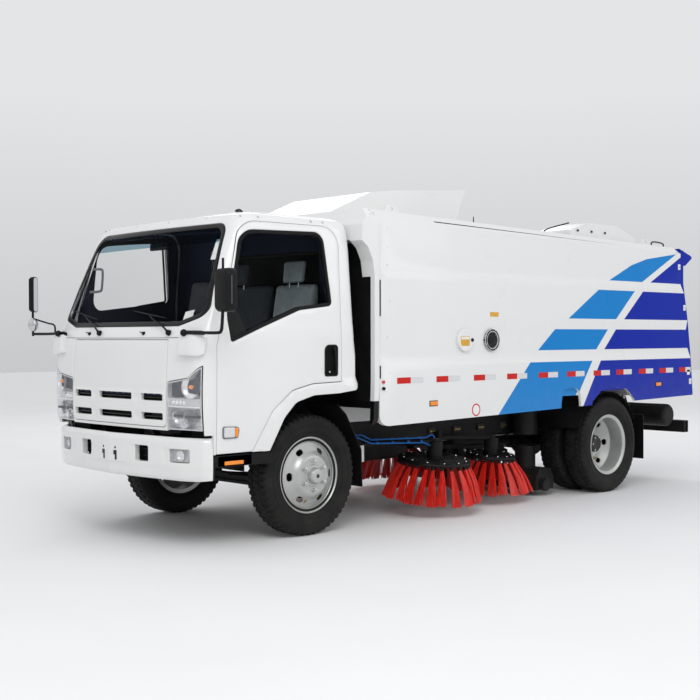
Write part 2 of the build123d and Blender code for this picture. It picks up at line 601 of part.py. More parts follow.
# dashboard
dash = sxz([(3035, 1120), (3035, 1560), (2980, 1600, 30), (2780, 1545, 60), (2720, 1440, 60), (2760, 1250, 60), (2900, 1120)],
           -945, 945)
dash = dash & cab_loft(60, 60)
c0 = Vector(2620, 450, 1570) - Vector(-0.60, 0, 0.80) * 66
c1 = Vector(2620, 450, 1570) - Vector(-0.60, 0, 0.80) * 380
dash = sorted(dash.solids(), key=lambda k: -k.volume)[0] + cyl(tuple(c1), tuple(c0), 37)
save("dashboard", dash)

# seats: driver's on the left, a double bench on the right
seats = []
for y0, y1 in ((200, 700), (-740, 120)):
    cu = sxz([(1950, 1230), (2440, 1250, 50), (2460, 1370, 50), (1950, 1340)], y0, y1)
    bk = sxz([(1900, 1290), (1990, 1320, 40), (1880, 1960, 50), (1790, 1960, 50), (1820, 1290)], y0, y1)
    base = box(1950, 2380, y0 + 60, y1 - 60, 1180.2, 1240)
    hd = sxz([(1855, 1950), (1905, 1950), (1890, 2150, 40), (1820, 2150, 40)], (y0 + y1) / 2 - 130, (y0 + y1) / 2 + 130)
    seats.append(fuse([cu, bk, base, hd]))
save("seats", seats)

# mirrors with their arms; the right one is turned towards the driver, and both reach equally far out
mr = []
arm = cyl((3206, 868, 1562), (3185, 1238, 1562), 13)
up = cyl((3185, 1238, 1550), (3165, 1238, 1790), 13)
head = syz([(1150, 1705, 40), (1330, 1705, 40), (1330, 2010, 40), (1150, 2010, 40)], 3110, 3190)
mr.append(fuse([arm, up, head, cyl((3150, 868, 1562), (3218, 868, 1562), 28)]) - outer)
RM_X, RM_Y = 3241.0, -1268.0
arm = cyl((3206, -868, 1562), (RM_X, RM_Y, 1562), 12) + cyl((RM_X, RM_Y, 1550), (RM_X, RM_Y, 1760), 12)
head = syz([(-62, 1743, 40), (62, 1743, 40), (62, 2040, 40), (-62, 2040, 40)], -26, 26)
head = head.moved(Location((RM_X, RM_Y, 0), (0, 0, -46)))
spot = Solid.make_sphere(61, Plane(origin=(RM_X - 2, RM_Y, 1640)), -90, 90, 360)
mr.append(fuse([arm, head, spot, cyl((3150, -868, 1562), (3218, -868, 1562), 28)]) - outer)
save("mirrors", mr)

# cab steps and wheel housings
cs = []
for s in (1, -1):
    st = box(2640, 3040, s * 700, s * 1000, 600, 612) + box(2640, 3040, s * 700, s * 712, 600, 929.9) \
        + box(2640, 2652, s * 700, s * 960, 600, 929.9) + box(3028, 3040, s * 700, s * 940, 600, 929.9)
    st = st + box(2535, 3040, s * 968, s * 1006, 600, 682)
    cs.append(st)
wl = list(cs)
LIN = [(2634, 689), (2497, 931, 160), (2360, 1062, 120), (2150, 1110, 200), (1871, 1112, 200), (1712, 1118), (1712, 1124), (1871, 1119, 200),
       (2153, 1117, 200), (2365, 1069, 120), (2503, 936, 160), (2641, 689)]
for s in (1, -1):
    wl.append(sxz(LIN, s * 500, s * 950))
save("wheel_housings", wl)

# steering wheel and its column
sw_c = (2620.0, 450.0, 1570.0)
ax = Vector(-0.60, 0, 0.80).normalized()
pl = Plane(origin=sw_c, z_dir=ax)
swh = Solid.revolve(Face(Wire.make_circle(16, Plane(origin=(215, 0, 0), x_dir=(1, 0, 0), z_dir=(0, -1, 0)))), 360,
                    Axis((0, 0, 0), (0, 0, 1)))
for a in (90, 210, 330):
    spoke = Solid.extrude(Face(Wire.make_polygon([(40, -14, -44), (211, -9, -5), (211, -9, 5), (40, -14, -30)], close=True)),
                          Vector(0, 26, 0))
    swh = swh + spoke.moved(Location((0, 0, 0), (0, 0, a)))
swh = swh + Solid.make_cylinder(45, 34, Plane(origin=(0, 0, -60), z_dir=(0, 0, 1)))
swh = swh.moved(Location(pl))
save("steering_wheel", swh)

# ===========================================================================
# STEERING AND WHEELS
# ===========================================================================
ARM_LEN = 190.0
ARM_Y = Y_KING
for s, nm in ((1, "left"), (-1, "right")):
    k = cyl((XF, s * Y_KING, 384), (XF, s * Y_KING, 548), KP_R)
    for z0, z1 in ((392, 415), (517, 540)):
        k = k + sxy([(XF - 34, s * (Y_KING - 30), 14), (XF + 34, s * (Y_KING - 30), 14), (XF + 40, s * 752), (XF - 40, s * 752)], z0, z1)
    k = k + box(XF - 46, XF + 46, s * 733, s * 756, 386, 546)
    k = k + cyl((XF, s * 750, R_TYRE), (XF, s * 900, R_TYRE), 30)
    k = k + cyl((XF, s * 755, R_TYRE), (XF, s * 765, R_TYRE), 150)
    arm = sxy([(XF - 20, s * 700), (XF - 20, s * 740), (XF - ARM_LEN, s * (ARM_Y + 16), 14), (XF - ARM_LEN - 22, s * (ARM_Y + 16), 14),
               (XF - ARM_LEN - 22, s * (ARM_Y - 18), 14), (XF - ARM_LEN + 10, s * (ARM_Y - 18), 14)], 386, 400)
    k = k + arm
    if s < 0:
        k = k - cyl((XF - ARM_LEN, s * ARM_Y, 370), (XF - ARM_LEN, s * ARM_Y, 420), 12)
    else:
        k = k - cyl((XF - ARM_LEN, s * ARM_Y, 370), (XF - ARM_LEN, s * ARM_Y, 420), 8.05)
    save(nm + "_knuckle", k)
tr = cyl((XF - ARM_LEN, -ARM_Y + 26, 366), (XF - ARM_LEN, ARM_Y - 26, 366), 13)
for s in (1, -1):
    tr = tr + cyl((XF - ARM_LEN, s * ARM_Y, 352), (XF - ARM_LEN, s * ARM_Y, 380), 22) \
        + cyl((XF - ARM_LEN, s * ARM_Y, 378), (XF - ARM_LEN, s * ARM_Y, 412), 8) \
        + cyl((XF - ARM_LEN, s * (ARM_Y - 30), 366), (XF - ARM_LEN, s * (ARM_Y - 15), 366), 13)
save("tie_rod", tr)


def tyre(x, y):
    w = W_TYRE / 2
    p = [(262, y - 80), (296, y - 85.2), (299, y - 97), (372, y - w, 70), (444, y - w + 9, 30), (R_TYRE, y - w + 30, 14), (R_TYRE, y + w - 30, 14),
         (444, y + w - 9, 30), (372, y + w, 70), (299, y + 97), (296, y + 85.2), (262, y + 80)]
    return turn_y(p, x, R_TYRE)


def rim_profile(y, face, s):
    """Wheel: barrel, flanges and dished disc; the disc's hub face is at y = face."""
    f = face
    a = y
    return [(R_FLANGE, a - 93), (R_FLANGE, a - 86), (261.5, a - 81), (261.5, a + 81), (R_FLANGE, a + 86), (R_FLANGE, a + 93),
            (250, a + 84), (250, a - 84)]


def wheel_disc(y, face, s):
    d = 1 if (face - y) * s > 0 else -1
    b = y + s * d * 62                 # where the disc meets the barrel
    f = face
    prof = [(60, f), (150, f, 12), (196, f - s * d * 42, 30), (252, b), (252, b + s * d * 11), (200, f - s * d * 30, 30),
            (152, f + s * d * 11, 12), (60, f + s * d * 11)]
    return turn_y(prof, 0, 0)


def rim(x, y, face, s):
    b = turn_y(rim_profile(y, face, s), 0, 0)
    d = wheel_disc(y, face, s)
    w = b + d
    for i in range(6):
        a = math.radians(60 * i)
        hole = cyl((204 * math.cos(a), face - s * 200, 204 * math.sin(a)), (204 * math.cos(a), face + s * 200, 204 * math.sin(a)), 27)
        w = w - hole
    for i in range(6):
        a = math.radians(60 * i + 30)
        w = w + cyl((111 * math.cos(a), face - 5 * s, 111 * math.sin(a)), (111 * math.cos(a), face + 34 * s, 111 * math.sin(a)), 17)
    return w.moved(Location((x, 0, R_TYRE)))


HUB_F = 978.0       # front wheel's hub face
HUB_R = 825.0       # rear hub face, between the twin discs
for s, nm in ((1, "left"), (-1, "right")):
    save(nm + "_front_tyre", tyre(XF, s * Y_FRONT))
    w = rim(XF, s * Y_FRONT, s * HUB_F, s)
    w = w + cyl((XF, s * 790, R_TYRE), (XF, s * 979, R_TYRE), 100) + cyl((XF, s * 772, R_TYRE), (XF, s * 850, R_TYRE), 185) \
        + cyl((XF, s * 960, R_TYRE), (XF, s * 1030, R_TYRE), 68)
    w = w - cyl((XF, s * 700, R_TYRE), (XF, s * 901, R_TYRE), 30.1)
    save(nm + "_front_rim", w)
    save(nm + "_rear_tyres", tyre(XR, s * Y_REAR_OUT), tyre(XR, s * Y_REAR_IN))
    wo = rim(XR, s * Y_REAR_OUT, s * HUB_R, s)
    wi = turn_y(rim_profile(s * Y_REAR_IN, 0, s), XR, R_TYRE) \
        + turn_y([(60, s * HUB_R), (150, s * HUB_R), (196, s * (HUB_R - 42)), (252, s * 739), (252, s * 728), (200, s * (HUB_R - 54)),
                  (152, s * (HUB_R - 12)), (60, s * (HUB_R - 12))], XR, R_TYRE)
    w = wo + wi + cyl((XR, s * 700, R_TYRE), (XR, s * 935, R_TYRE), 84) + cyl((XR, s * 590, R_TYRE), (XR, s * 740, R_TYRE), 190)
    w = w + cyl((XR, s * 826, R_TYRE), (XR, s * 850, R_TYRE), 98)
    w = w - cyl((XR, s * 500, R_TYRE), (XR, s * 901, R_TYRE), 42.1)
    save(nm + "_rear_rims", w)

# ===========================================================================
# HOPPER (the whole tipping body)
# ===========================================================================
HOP = [  # x, side y shift, bottom z, chamfer low z, chamfer high z, crown z
    (HOP_FRONT, -15.0, 818.0, 2476.0, 2556.0, 2562.0),
    (1410.0, 0.0, 816.0, 2476.0, 2556.0, 2562.0),
    (-3300.0, 0.0, 904.0, 2396.0, 2466.0, 2474.0)]
CREASE = 28.0


def hop_section(row):
    x, dy, zb, z1, z2, z3 = row
    Y = SIDE_Y + dy
    h = [(Y, zb), (Y, 1297), (Y - CREASE, 1402), (Y - CREASE, 1601), (Y, 1697), (Y, 1985), (Y - CREASE, 2078), (Y - CREASE, z1),
         (Y - 118, z2), (0, z3)]
    pts = h + [(-a, b) for a, b in reversed(h[:-1])]
    return wire2(pts, PYZ(x))


hs = Solid.make_loft([hop_section(r) for r in HOP], True)
REAR = [(-3038, 2700), (-3038, 2060), (-3129, 1696), (-3190, 1309), (-3237, 904), (-3237, 700)]
hs = hs - sxz([(-3400, 2700)] + REAR + [(-3400, 700)], -1200, 1200)
# lower front corner rounded
hs = hs - (box(HOP_FRONT - 90, HOP_FRONT + 10, -1200, 1200, 780, 906) - cyl((HOP_FRONT - 90, -1300, 908), (HOP_FRONT - 90, 1300, 908), 91)
           - box(HOP_FRONT - 200, HOP_FRONT - 90, -1300, 1300, 700, 1000))
# load chamber, open at the rear
hs = hs - sxz([(790, 1010), (790, 2500), (-3400, 2412), (-3400, 1010)], -1044, 1044)
# engine bay in front, open below
hs = hs - box(HOP_FRONT - 24, 750, -1050, 1050, 700, 2300) - box(HOP_FRONT + 10, HOP_FRONT - 30, -1030, 1030, 700, 2290)
# below the floor, inside the skirts
hs = hs - box(751, -3400, -1076, 1076, 700, 970)
for s in (1, -1):
    hs = hs - box(-2130, -1300, s * 500, s * 1076, 960, 998)
# arches in the skirts: a low one ahead of the rear wheels and the wheels' own
hs = hs - sxz([(-906, 700), (-906, 1030, 60), (-1206, 1030, 60), (-1206, 700)], -1200, 1200).intersect(
    box(-2300, -800, -1200, 1200, 700, 1031)) if False else hs
sk = [sxz([(-896, 700), (-904, 900), (-930, 1040, 120), (-1190, 1040, 120), (-1212, 900), (-1220, 700)], s * 1050, s * 1200) for s in (1, -1)]
wa = [sxz([(-1385, 700), (-1400, 900, 10), (-1560, 1010, 120), (-1776, 1028, 150), (-1990, 1005, 120), (-2121, 900, 10), (-2130, 700)], s * 1050, s * 1200) for s in (1, -1)]
for t in sk + wa:
    t2 = t & box(-3000, 0, -1200, 1200, 700, 1040)
    hs = hs - (t2 - box(-3300, 800, -1074, 1074, 969, 1100))
# sub-frame beams on the rails, cross beams, hoist eyes, pivot lugs and pins
for s in (1, -1):
    hs = hs + box(-2850, 1400, s * 365, s * 425, 803, 971)
    lug = sxz([(-2850, 812), (-2850, 965), (-2930, 905, 10), (HOP_PIV_X - 34, HOP_PIV_Z + 20, 20), (HOP_PIV_X - 34, HOP_PIV_Z - 34, 20),
               (HOP_PIV_X + 10, HOP_PIV_Z - 34, 20)], s * 384, s * 410)
    hs = hs + lug + cyl((HOP_PIV_X, s * 366, HOP_PIV_Z), (HOP_PIV_X, s * 428, HOP_PIV_Z), 20)
    for y in (HOIST_Y - 50, HOIST_Y + 38):
        e = sxz([(HOIST_R[0] - 40, 972), (HOIST_R[0] + 40, 972), (HOIST_R[0] + 24, HOIST_R[1] - 22, 18), (HOIST_R[0] - 24, HOIST_R[1] - 22, 18)],
                s * y, s * (y + 12))
        hs = hs + (e - cyl((HOIST_R[0], s * y - 20, HOIST_R[1]), (HOIST_R[0], s * y + 20, HOIST_R[1]), 17.05))
for x in (560.0, -700.0, -2200.0):
    hs = hs + box(x, x + 50, -366, 366, 900, 971)
for s in (1, -1):
    for x in (560.0, -700.0, -2250.0, -2800.0):
        hs = hs + box(x, x + 50, s * 424, s * 1077, 930, 971)
# suction inlets through the floor
for s in (1, -1):
    hs = hs - cyl((-1045, s * 560, 900), (-1045, s * 560, 1020), 110)
# roof duct: a wedge that rises rearwards and ends in a curved edge
duct = sxz([(1480, 2520), (1480, 2575), (1010, 2775, 60), (640, 2822, 60), (-262, 2894, 20), (-190, 2820, 260), (-120, 2640, 120), (-120, 2500)],
           -500, 500)
duct = rounded(duct, 30, lambda e: False)
hs = hs + duct
hs = hs - sxz([(760, 2380), (760, 2660), (600, 2775), (-230, 2840), (-165, 2700), (-165, 2380)], -470, 470)
# rear door hinge lugs on the roof
for s in (1, -1):
    for y in (700.0, 760.0):
        l = sxz([(-2960, 2430), (-2960, 2480, 10), (RD_X + 6, RD_Z + 24, 20), (RD_X - 24, RD_Z, 20), (RD_X + 8, RD_Z - 40), (RD_X + 8, 2400)],
                s * y, s * (y + 12))
        hs = hs + l
    hs = hs - cyl((RD_X, s * 711, RD_Z), (RD_X, s * 761, RD_Z), 30)
    hs = hs + cyl((RD_X, s * 700, RD_Z), (RD_X, s * 772, RD_Z), 12)
save("hopper_shell", sorted(hs.solids(), key=lambda k: -k.volume)[0])
print("hopper solids", len(hs.solids()), [round(k.volume / 1e6, 2) for k in hs.solids()])

# fittings on the hopper: sight window, filler cap, lifting ears, roof bracket
ft = []
for s in (1, -1):
    ft.append(ring_y(94, 1501, s * (SIDE_Y - CREASE + 0.2), s * (SIDE_Y - 4), 74, 97))
    ft.append(cyl((94, s * (SIDE_Y - CREASE + 0.2), 1501), (94, s * (SIDE_Y - 16), 1501), 73.9))
    ft.append(cyl((454, s * (SIDE_Y - CREASE + 0.2), 1502), (454, s * (SIDE_Y - 2), 1502), 97))
    for x in (-2650.0, 1150.0):
        zr = 2556 - (1410 - x) * 90 / 4710
        ear = sxz([(x - 105, zr - 30), (x + 105, zr - 30), (x + 60, zr + 66, 30), (x - 60, zr + 66, 30)], s * 880, s * 892)
        ft.append(ear - cyl((x, s * 800, zr + 34), (x, s * 900, zr + 34), 20) - hs)
dome = sxz([(-1340, 2460), (-1300, 2560, 40), (-1600, 2650, 260), (-2100, 2650, 260), (-2440, 2540, 40), (-2440, 2460)], 500, 900)
ft.append(dome - hs)
save("hopper_fittings", ft)

# ---- rear door ----------------------------------------------------------------------
rd = sxz([(-3046, 2440), (-3046, 2062), (-3137, 1698), (-3198, 1311), (-3245, 908), (-3303, 908, 20), (-3258, 1320, 200), (-3196, 1712, 200),
          (-3110, 2090, 100), (-3110, 2440)], -1062, 1062)
hood = sxz([(-3050, 2458), (-3288, 2388, 8), (-3303, 2366, 8), (-3170, 2282), (-3050, 2270)], -1050, 1050)
rd = rd + hood
for s in (1, -1):
    l = sxz([(-3060, 2440), (RD_X - 22, RD_Z + 6, 10), (RD_X - 10, RD_Z + 20, 18), (RD_X + 20, RD_Z + 10, 18), (RD_X + 12, RD_Z - 20, 10), (-3050, 2440)],
            s * 716, s * 756)
    l = sxz([(-3052, 2440), (-3052, 2470), (RD_X + 20, RD_Z - 10, 10), (RD_X + 20, RD_Z + 20, 18), (RD_X - 20, RD_Z + 20, 18), (-3110, 2440)], s * 716, s * 756)
    rd = rd + (l - cyl((RD_X, s * 690, RD_Z), (RD_X, s * 780, RD_Z), 12.05))
save("rear_door", rd)

# ---- hoist: two barrels and two rods --------------------------------------------------
hb, hr = [], []
dx, dz = HOIST_R[0] - HOIST_B[0], HOIST_R[1] - HOIST_B[1]
L = math.hypot(dx, dz)
ux, uz = dx / L, dz / L


def hp(t, y):
    return (HOIST_B[0] + ux * t, y, HOIST_B[1] + uz * t)


for s in (1, -1):
    y = s * HOIST_Y
    b = cyl(hp(62, y), hp(1290, y), 54) + cyl(hp(10, y), hp(70, y), 32) - cyl(hp(90, y), hp(1300, y), 36.1)
    b = b + cyl((HOIST_B[0], y - 32, HOIST_B[1]), (HOIST_B[0], y + 32, HOIST_B[1]), 40)
    b = b + cyl((HOIST_B[0], y - 60, HOIST_B[1]), (HOIST_B[0], y + 60, HOIST_B[1]), 18)
    hb.append(b)
    r = cyl(hp(110, y), hp(L - 20, y), 36)
    e = cyl((HOIST_R[0], y - 30, HOIST_R[1]), (HOIST_R[0], y + 30, HOIST_R[1]), 34)
    r = (r + e) - cyl((HOIST_R[0], y - 40, HOIST_R[1]), (HOIST_R[0], y + 40, HOIST_R[1]), 17.5)
    hr.append(r)
save("hoist_barrels", hb)
save("hoist_rods", hr)

# ===========================================================================
# SWEEPING GEAR
# ===========================================================================
BRUSH = [  # name, centre x, centre y, plate height, plate radius, tip radius, tips below the plate, swing pin
    ("front", 520.0, 790.0, 465.0, 320.0, 480.0, 350.0, ARM_F),
    ("rear", -420.0, 640.0, 430.0, 235.0, 450.0, 325.0, ARM_R)]
LEAN = 6.0
for nm, cx, cy, ring_z, rp, R, drop, pin in BRUSH:
    for s, side in ((1, "left"), (-1, "right")):
        n = Vector(0, s * math.sin(math.radians(LEAN)), math.cos(math.radians(LEAN)))
        o = Vector(cx, s * cy, ring_z)
        pp = Plane(origin=o, x_dir=(1, 0, 0), z_dir=n.cross(Vector(1, 0, 0)) * -1)
        # local x = radius (world x), local y = along the spindle
        prof = [(0, -34), (rp - 60, -34), (R - 130, -drop - 10), (R, -drop), (rp, -4), (rp, 12), (70, 12), (70, 30), (0, 30)]
        yv = pp.y_dir
        if yv.dot(n) < 0:
            prof = [(a, -b) for a, b in prof]
        f = Face(wire2(prof, pp))
        br = Solid.revolve(f, 360, Axis(tuple(o), tuple(n)))
        save(side + "_" + nm + "_brush", br)
        m0, m1 = o + n * 33, o + n * 160
        a = cyl(tuple(m0), tuple(m1), 66)
        top = o + n * 150
        eye = (pin[0], s * pin[1])
        a = a + cyl((eye[0], eye[1], 577), (eye[0], eye[1], 648), 30)
        a = a + cyl((eye[0], eye[1], 612), (top.X, top.Y, top.Z + 8), 26)
        a = a + cyl((top.X, top.Y, top.Z - 20), (top.X, top.Y, top.Z + 30), 40)
        a = a + cyl((eye[0], eye[1], 552), (eye[0], eye[1], 672), 15)
        save(side + "_" + nm + "_arm", a)
        if nm == "front":
            # two hoses lie along the arm, from a swivel union on the pin to the motor
            ex, ey = eye
            dx, dy = top.X - ex, top.Y - ey
            dl = math.hypot(dx, dy)
            dx, dy = dx / dl, dy / dl

            def on_arm(t, out, up):
                return (ex + dx * t + abs(dy) * out, ey + dy * t + s * abs(dx) * out, 612 + (top.Z + 8 - 612) * t / dl + up)
            hz = [cyl((ex, ey, 671), (ex, ey, 702), 13)]
            hz.append(hose([(ex + dx * 10, ey + dy * 10, 692), (ex + dx * 70, ey + dy * 70, 692), on_arm(150, 0, 35), on_arm(dl - 90, 0, 35),
                            (top.X - dx * 14, top.Y - dy * 14, top.Z + 76), (top.X - dx * 14, top.Y - dy * 14, top.Z + 26)], 6.5, 24))
            hz.append(hose([(ex + abs(dy) * 10, ey + s * abs(dx) * 10, 682), (ex + abs(dy) * 50, ey + s * abs(dx) * 50, 682), on_arm(140, 34, 8),
                            on_arm(dl - 120, 34, -6), on_arm(dl - 40, 20, -40)], 6.5, 20))
            for t in (190, 330, 470, 590):
                q0, q1 = on_arm(t, 0, 35), on_arm(t + 16, 0, 35)
                r0, r1 = on_arm(t, 33, 8), on_arm(t + 16, 33, 8)
                hz.append(cyl(q0, q1, 10.5))
                hz.append(cyl(r0, r1, 11.5))
            save(side + "_front_hoses", sorted((fuse(hz) - a).solids(), key=lambda k: -k.volume)[0])

# ---- suction mouth with its two lifting arms --------------------------------------------
sm = sxz([(-905, 60), (-905, 180), (-960, 262), (-1130, 262), (-1180, 180), (-1180, 60)], -800, 800)
sm_arms = []
sm = sm - sxz([(-930, 40), (-930, 175), (-970, 238), (-1120, 238), (-1156, 175), (-1156, 40)], -780, 780)
for s in (1, -1):
    sm = sm + (cyl((-1045, s * 560, 240), (-1045, s * 560, 470), 100))
    sm = sm - cyl((-1045, s * 560, 200), (-1045, s * 560, 500), 92)
    arm = sxz([(330, SUC_PZ - 18), (330, SUC_PZ + 18), (-900, 458), (-1000, 420), (-1000, 250), (-960, 250), (-960, 400), (-895, 422)],
              s * 352, s * 378)
    arm = arm + cyl((SUC_X, s * 352, SUC_PZ), (SUC_X, s * 378, SUC_PZ), 26) + cyl((SUC_X, s * 336, SUC_PZ), (SUC_X, s * 394, SUC_PZ), 12)
    sm_arms.append(arm)
    sm = sm + cyl((-1010, s * 799, 110), (-1010, s * 850, 110), 58)
save("suction_mouth", sm, [k - sm for k in sm_arms])
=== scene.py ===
"""Looks for the street sweeper truck. Metres, row frame: +X forward, +Y left, +Z up, origin on the ground."""

import math
import random


import bmesh
import bpy
import numpy as np
from mathutils import Matrix, Vector
from mathutils.geometry import delaunay_2d_cdt


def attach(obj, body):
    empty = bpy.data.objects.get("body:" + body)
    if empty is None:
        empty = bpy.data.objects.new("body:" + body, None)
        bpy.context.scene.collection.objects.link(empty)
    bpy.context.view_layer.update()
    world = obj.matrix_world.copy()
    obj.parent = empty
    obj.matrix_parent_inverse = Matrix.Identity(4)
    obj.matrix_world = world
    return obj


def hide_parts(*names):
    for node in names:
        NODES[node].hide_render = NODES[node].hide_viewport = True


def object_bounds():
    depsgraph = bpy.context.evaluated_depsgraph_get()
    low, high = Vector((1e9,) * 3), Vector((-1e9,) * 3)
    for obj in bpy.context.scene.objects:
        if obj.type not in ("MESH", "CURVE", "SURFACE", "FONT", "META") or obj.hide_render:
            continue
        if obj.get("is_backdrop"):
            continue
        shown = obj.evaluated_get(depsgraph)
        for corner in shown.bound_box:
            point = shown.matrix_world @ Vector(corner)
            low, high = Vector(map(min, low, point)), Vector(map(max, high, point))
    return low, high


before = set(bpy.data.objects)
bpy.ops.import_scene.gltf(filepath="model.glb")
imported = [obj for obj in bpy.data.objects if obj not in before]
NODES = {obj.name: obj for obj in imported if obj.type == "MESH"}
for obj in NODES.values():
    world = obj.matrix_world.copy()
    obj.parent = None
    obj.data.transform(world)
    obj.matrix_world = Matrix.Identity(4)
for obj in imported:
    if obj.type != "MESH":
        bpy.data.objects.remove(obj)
lo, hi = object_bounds()
CADBOX = (tuple(lo), tuple(hi))

XF, XR, RT = 2.100, -1.715, 0.466          # front axle, rear axle, axle height
rnd = random.Random(7)

# ---------------------------------------------------------------------------
# camera, light, floor
# ---------------------------------------------------------------------------
cd = bpy.data.cameras.new("camera")
cam = bpy.data.objects.new("camera", cd)
bpy.context.scene.collection.objects.link(cam)
yaw, pitch, roll = 3.9515612, -0.0111975, -0.00244684
f = Vector((math.cos(yaw) * math.cos(pitch), math.sin(yaw) * math.cos(pitch), math.sin(pitch)))
r = Vector((math.sin(yaw), -math.cos(yaw), 0.0))
u = r.cross(f)
r2 = r * math.cos(roll) + u * math.sin(roll)
u2 = u * math.cos(roll) - r * math.sin(roll)
cam.matrix_world = Matrix(((r2.x, u2.x, -f.x, 8.1841), (r2.y, u2.y, -f.y, 7.7783), (r2.z, u2.z, -f.z, 1.5330), (0, 0, 0, 1)))
cd.lens, cd.sensor_width, cd.sensor_fit = 61.10, 36.0, "HORIZONTAL"
cd.clip_end = 200
bpy.context.scene.camera = cam
try:
    bpy.context.scene.view_settings.view_transform = "Standard"
except TypeError:
    pass

world = bpy.data.worlds.new("studio")
bpy.context.scene.world = world
world.use_nodes = True
wn = world.node_tree
bg = wn.nodes["Background"]
tcw = wn.nodes.new("ShaderNodeTexCoord")
sepw = wn.nodes.new("ShaderNodeSeparateXYZ")
rw_ = wn.nodes.new("ShaderNodeValToRGB")
rw_.color_ramp.elements[0].position, rw_.color_ramp.elements[0].color = 0.44, (0.62, 0.62, 0.63, 1)
rw_.color_ramp.elements[1].position, rw_.color_ramp.elements[1].color = 0.60, (0.97, 0.98, 1.0, 1)
mrw = wn.nodes.new("ShaderNodeMapRange")
mrw.inputs["From Min"].default_value = -1.0
wn.links.new(tcw.outputs["Generated"], sepw.inputs[0])
wn.links.new(sepw.outputs["Z"], mrw.inputs["Value"])
wn.links.new(mrw.outputs["Result"], rw_.inputs["Fac"])
wn.links.new(rw_.outputs["Color"], bg.inputs["Color"])
bg.inputs["Strength"].default_value = 0.80


def area(name, loc, target, size, power, col=(1, 1, 1)):
    ld = bpy.data.lights.new(name, "AREA")
    ld.shape, ld.size, ld.size_y, ld.energy, ld.color = "RECTANGLE", size[0], size[1], power, col
    o = bpy.data.objects.new(name, ld)
    bpy.context.scene.collection.objects.link(o)
    o.location = loc
    o.rotation_euler = (Vector(target) - Vector(loc)).to_track_quat("-Z", "Y").to_euler()
    return o


area("key", (7.0, 7.0, 8.0), (0.5, 0, 1.0), (5, 5), 330)
area("side", (-5.0, 10.0, 5.0), (-1.0, 0, 1.4), (7, 4), 110)
area("back", (-7.0, -8.0, 8.0), (-1.0, 0, 1.4), (7, 5), 200)


# ---------------------------------------------------------------------------
# materials: every one is made of nodes, with an uneven colour and roughness
# ---------------------------------------------------------------------------
MATS = {}


